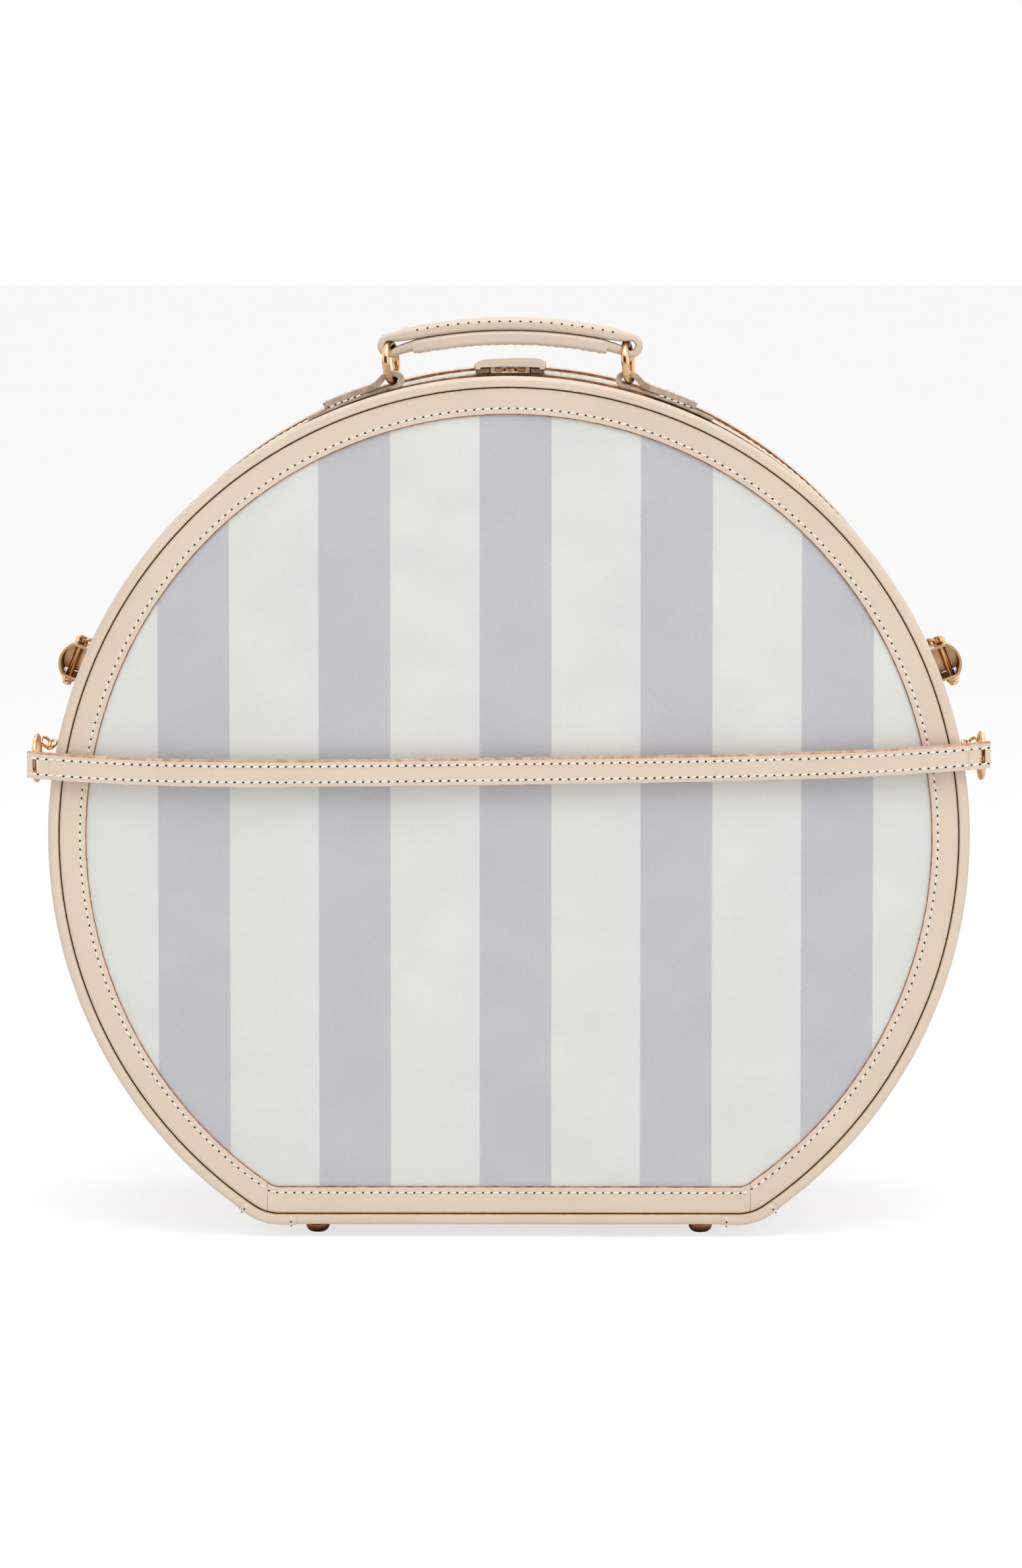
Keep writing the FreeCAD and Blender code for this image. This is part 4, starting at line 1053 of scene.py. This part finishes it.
def closure_row(y, near):
    """One cross-section of the closure tab: 13 points over the top, two at each turned edge, 13 back."""
    root = soft_step(y, 3.0, 9.0)
    lead = max(0.0, 1 - (y - near) / 1.4)
    top_r = CLOSURE_TOP_R - 4.7 * root - 0.8 * lead * lead
    under_r = CLOSURE_UNDER_R - 3.1 * root
    half_w = CLOSURE_HALF_W - 2.0 * root - 0.6 * lead * lead
    hem = CLOSURE_HEM_Z * (1 - root) + math.sqrt(under_r ** 2 - half_w ** 2) * root
    row = []
    for i in range(13):
        share = 2 * i / 12 - 1
        x = half_w * math.sin(share * math.pi / 2) if abs(share) < 1 else half_w * share
        drop = 1.6 * (1 - root) * max(0.0, abs(x) / half_w - 0.82) / 0.18
        tilt = 0.45 * (1 - root) * x / half_w
        row.append(Vector((x, y, math.sqrt(top_r ** 2 - x * x) - drop + tilt)))
    inner_w = half_w - 2.4 * (1 - root) - 0.3 * root
    turned = ((half_w + 0.05, hem + 0.8 * (1 - root) + 0.3 * root), (half_w - 0.2, hem), (inner_w + 0.2, hem))
    row.extend(Vector((x, y, z)) for x, z in turned)
    for i in range(11):
        share = 1 - 2 * i / 10
        x = inner_w * share
        row.append(Vector((x, y, math.sqrt(under_r ** 2 - x * x))))
    row.extend(Vector((-x, y, z)) for x, z in reversed(turned))
    return row


# ---------- carry strap ----------
STRAP_HALF_W = 6.35
STRAP_HALF_T = 1.3
STRAP_MIDDLE_Z = 31.75
STRAP_TILT = 0.014
STRAP_BEND_X = 220
STRAP_FOLD_LENGTH = 6.2
STRAP_SLOT_HALF_W = 1.2
STRAP_SEAMS = (("upper", 3.2), ("lower", -4.1))
# links between ring and bracket: (distance in from the ring, height over its centre, twist, lean)
STRAP_LINKS = ((3.4, 7.0, 35, 40), (6.2, 6.0, -30, -50))
LINK_R, LINK_WIRE = 2.6, 0.75


def strap_z(x):
    """Height of the middle of the carry strap, which hangs a little lower on its left."""
    return STRAP_MIDDLE_Z + STRAP_TILT * x + strap_rise(x) * (x / STRAP_BEND_X) ** 4


def strap_rise(x):
    """How far the end of the strap is lifted by its ring: more on the left."""
    return 4.5 if x > 0 else 5.8


def strap_slope(x):
    return STRAP_TILT + 4 * strap_rise(x) / STRAP_BEND_X * (x / STRAP_BEND_X) ** 3


def carry_strap():
    """Two layers sewn together along both edges, with each end folded round its ring."""
    line_y = STRAP_BACK_Y + STRAP_HALF_T
    facing = Vector((0, -1, 0))
    stations = []
    count = 170
    end = STRAP_RING_X - STRAP_FOLD_LENGTH + 0.5
    for i in range(count + 1):
        x = end * (2 * i / count - 1)
        slope = Vector((1, 0, strap_slope(x))).normalized()
        across = Vector((-slope.z, 0, slope.x))
        centre = Vector((x, line_y + 0.15 * ripple(91, 25, x), strap_z(x)))
        stations.append((centre, across, facing, STRAP_HALF_W, STRAP_HALF_T))
    obj = ribbon("carry_strap_leather", stations, raw_strap_section(), STRAP_SET, fray=0.25)
    finish_piece(obj, "strap", "leather", "carry_strap")
    for row, offset in STRAP_SEAMS:
        path = []
        for i in range(count + 1):
            x = (STRAP_END_X - 1.0) * (2 * i / count - 1)
            behind = 0.0 if abs(x) < end else -0.3
            path.append((Vector((x, STRAP_BACK_Y - 0.05 + behind, strap_z(x) + offset)), facing))
        stitch_row("strap_stitches_" + row, path, "strap", radius=0.46)
    for sign, hand in ((1, "right"), (-1, "left")):
        strap_end(sign, hand)
        strap_rings(sign, hand)


def raw_strap_section():
    """Strap cross-section whose upper edge is skived to a broad raw bevel."""
    bevel = {(0.93, 1.0): (0.81, 1.0, EDGE),
             (0.985, 0.85): (0.9, 0.72, EDGE),
             (1.0, 0.5): (0.98, 0.35, EDGE)}
    section = []
    for across, out, slot in strap_section():
        plain = (min(across, 0.7) if out > 0.99 else across, out, slot)
        section.append(bevel.get((across, out), plain))
    return section


def strap_end(sign, hand):
    """Folded end of the strap with a slot in its face where the ring shows."""
    inner = STRAP_RING_X - STRAP_FOLD_LENGTH
    slot_low, slot_high = STRAP_RING_X - STRAP_SLOT_HALF_W, STRAP_RING_X + STRAP_SLOT_HALF_W
    columns = [inner, inner + 2.0, slot_low - 0.8, slot_low, slot_high, slot_high + 0.8, STRAP_END_X - 0.9,
               STRAP_END_X - 0.2, STRAP_END_X]
    rows_z = [-1.0, -0.97, -0.61, -0.3, 0.1, 0.42, 0.6, 0.81, 1.0]
    work = []
    faces = []
    for layer, y in enumerate((STRAP_BACK_Y - 0.35, STRAP_BACK_Y + 1.5)):
        for x in columns:
            for r in rows_z:
                rounding = 0.5 if abs(r) > 0.99 or x > STRAP_END_X - 0.1 else 0.0
                squeeze = 0.97 if x > STRAP_END_X - 0.3 else 1.0
                height = strap_z(sign * x) + r * STRAP_HALF_W * squeeze
                work.append(Vector((sign * x, y + (rounding if layer == 0 else -rounding), height)))
    per_layer = len(columns) * len(rows_z)
    high = len(rows_z)
    cells = [(i, j) for i in range(len(columns) - 1) for j in range(high - 1)
             if (i, j) not in ((3, 2), (3, 3), (3, 4))]
    cell_sides = (((0, 1), (-1, 0)), ((3, 2), (1, 0)), ((0, 3), (0, -1)), ((1, 2), (0, 1)))
    slots = []
    for i, j in cells:
        corner = i * high + j
        front = (corner, corner + 1, corner + high + 1, corner + high)
        back = tuple(per_layer + point for point in front)
        faces.extend((front, back))
        slots.extend((EDGE if rows_z[j] > 0.8 else LEATHER, SUEDE))
        for (a, b), (di, dj) in cell_sides:
            if (i + di, j + dj) not in cells:
                faces.append((front[a], front[b], back[b], back[a]))
                slots.append(EDGE)
    obj = new_object("strap_fold_" + hand, work, faces, STRAP_SET, slots, sharp=60)
    soften = obj.modifiers.new("soften", "BEVEL")
    soften.width = 0.25 * MM
    soften.segments = 2
    finish_piece(obj, "strap", "leather", "carry_strap")


def strap_rings(sign, hand):
    """Ring held by the end of the strap, and the two links that join it to its bracket."""
    low, high = case_box("strap_ring_" + hand)
    wire = (high.x - low.x) / 2
    lift = 1.8 if sign > 0 else 0.4
    middle = (low + high) / 2
    ring = wire_ring("strap_wire_ring_" + hand, middle + Vector((0, 0, lift)),
                     (high.z - low.z) / 2 - wire, wire, 4 * sign, 0)
    finish_piece(ring, "strap", "gold_metal", "strap_ring_" + hand)
    eye_y = middle_of("strap_bracket_" + hand).y
    for number, (in_from_ring, rise, twist, lean) in enumerate(STRAP_LINKS):
        place = Vector((sign * (STRAP_RING_X - in_from_ring), eye_y, middle.z + rise))
        link = wire_ring("strap_link_%s_%d" % (hand, number), place, LINK_R, LINK_WIRE,
                         sign * twist, sign * lean)
        finish_piece(link, "base", "gold_metal")


# ---------- hardware kept from the frame ----------
def carried_nodes():
    """Hard pieces and hidden boards keep their own shape and get a worked material."""
    boards = ("base_wall", "lid_wall", "base_panel", "lid_panel")
    feet = ("base_feet", "lid_feet")
    lock = {"lock_body": LOCK_GOLD_PAINTED_LIGHT, "lock_button": LOCK_COPPER}
    for name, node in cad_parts.items():
        if node.hide_render:
            continue
        material = BOARD if name in boards else COPPER if name in feet else lock.get(name, GOLD)
        node.data.materials.clear()
        node.data.materials.append(material)
        if name not in boards:
            join = node.modifiers.new("join", "WELD")
            join.merge_threshold = 0.001 * MM
            edge = node.modifiers.new("edge", "BEVEL")
            edge.width = 0.18 * MM
            edge.segments = 2
            edge.limit_method = "ANGLE"
            edge.angle_limit = math.radians(50)


# ---------- studio ----------
FLOOR_GLOW = 0.3
FLOOR_SEE_THROUGH = 0.6
FLOOR_SIZE = 30000
ROOM_LIGHT = 0.56
CAMERA_LENS = 276.1
CAMERA_RISE = 0.0554
CAMERA_PLACE = (28, -3640, 311)
CAMERA_DOWN = 4.9
CAMERA_TURN = 0.424
WHITE = (1, 1, 1, 1)
# what polished metal sees, from the camera side of the room (0) to the far side (1)
METAL_SEES = ((0.0, rgb(46, 26, 14)), (0.17, rgb(70, 40, 22)), (0.27, (1.3, 1.3, 1.3, 1)),
              (0.44, (1.2, 1.2, 1.2, 1)), (0.5, rgb(150, 112, 84)), (0.58, (1.3, 1.3, 1.3, 1)),
              (1.0, (1.1, 1.1, 1.1, 1)))


def floor_material():
    """Pale floor that lets the camera see a lid that swings down past it."""
    s = Shader("floor")
    tone = s.blend(s.noise(3, 2), rgb(250, 250, 250), rgb(246, 246, 246))
    seen = s.node("LightPath").outputs["Is Camera Ray"]
    glow = s.math("MULTIPLY", seen, FLOOR_GLOW)
    see_through = s.math("MULTIPLY", seen, FLOOR_SEE_THROUGH)
    s.set(Base_Color=tone, Roughness=0.9, Emission_Color=WHITE, Emission_Strength=glow,
          Alpha=s.math("SUBTRACT", 1.0, see_through))
    return s.material


def studio():
    ground = case_box("base_feet")[0].z
    corners = [(x * FLOOR_SIZE, y * FLOOR_SIZE, ground) for x, y in ((-1, -1), (1, -1), (1, 1), (-1, 1))]
    floor = new_object("floor", corners, [(0, 1, 2, 3)], [floor_material()])
    add_light("key", (150, -1700, 2700), 2200, 44)
    add_light("fill", (2100, -2400, 1100), 2000, 10)
    add_light("top", (0, 300, 2600), 1600, 9)
    add_sky()
    add_camera()


def add_light(name, place, size, power):
    lamp = bpy.data.lights.new(name, "AREA")
    lamp.shape = "SQUARE"
    lamp.size = size * MM
    lamp.energy = power
    obj = bpy.data.objects.new(name, lamp)
    obj.location = CENTRE + Vector(place) * MM
    obj.rotation_euler = (CENTRE - obj.location).to_track_quat("-Z", "Y").to_euler()
    bpy.context.scene.collection.objects.link(obj)


def add_sky():
    """White studio; polished metal sees it dark towards the camera and bright everywhere else."""
    world = bpy.data.worlds.new("studio")
    bpy.context.scene.world = world
    world.use_nodes = True
    tree = world.node_tree
    tree.nodes.clear()
    output = add_node(tree, "OutputWorld")

    def background(strength, colour=WHITE):
        return add_node(tree, "Background", Color=colour, Strength=strength)

    def choose(amount, first, second):
        node = add_node(tree, "MixShader", Fac=amount)
        tree.links.new(first.outputs[0], node.inputs[1])
        tree.links.new(second.outputs[0], node.inputs[2])
        return node

    direction = add_node(tree, "TexCoord").outputs["Generated"]
    half = add_node(tree, "Math")
    half.operation = "MULTIPLY_ADD"
    fill(tree, half.inputs[0], add_node(tree, "SeparateXYZ", Vector=direction).outputs["Y"])
    fill(tree, half.inputs[1], 0.5)
    fill(tree, half.inputs[2], 0.5)
    bands = add_node(tree, "ValToRGB", Fac=half.outputs[0])
    for _ in METAL_SEES[1:-1]:
        bands.color_ramp.elements.new(0.5)
    for element, (position, colour) in zip(bands.color_ramp.elements, METAL_SEES):
        element.position = position
        element.color = colour
    ray = add_node(tree, "LightPath")
    reflected = background(1.0, bands.outputs["Color"])
    around = choose(ray.outputs["Is Glossy Ray"], background(ROOM_LIGHT), reflected)
    seen = choose(ray.outputs["Is Camera Ray"], around, background(1.0))
    tree.links.new(seen.outputs[0], output.inputs["Surface"])


def add_camera():
    """Long lens, a little above the middle of the case and looking slightly down at its back."""
    lens = bpy.data.cameras.new("camera")
    lens.sensor_fit = "HORIZONTAL"
    lens.sensor_width = 36
    lens.lens = CAMERA_LENS
    lens.shift_y = CAMERA_RISE
    lens.clip_end = 100
    camera = bpy.data.objects.new("camera", lens)
    camera.location = CENTRE + (Vector(CAMERA_PLACE) - Vector((0, HALF_DEPTH, 0))) * MM
    camera.rotation_euler = (math.radians(90 - CAMERA_DOWN), 0, math.radians(CAMERA_TURN))
    bpy.context.scene.collection.objects.link(camera)
    bpy.context.scene.camera = camera
    bpy.context.scene.view_settings.view_transform = "Standard"


# ---------- build ----------
for case_side, shell_name in SIDES:
    face_cloth(case_side, shell_name)
    band_cloth(case_side, shell_name)
    lining(case_side, shell_name)
    seam_binding(case_side, shell_name)
    trim(case_side, shell_name)
    welt(case_side, shell_name)
register_lip()
handle()
for mirror_sign, hand_name in ((1, "right"), (-1, "left")):
    handle_tab(mirror_sign, hand_name)
closure()
carry_strap()
carried_nodes()
studio()
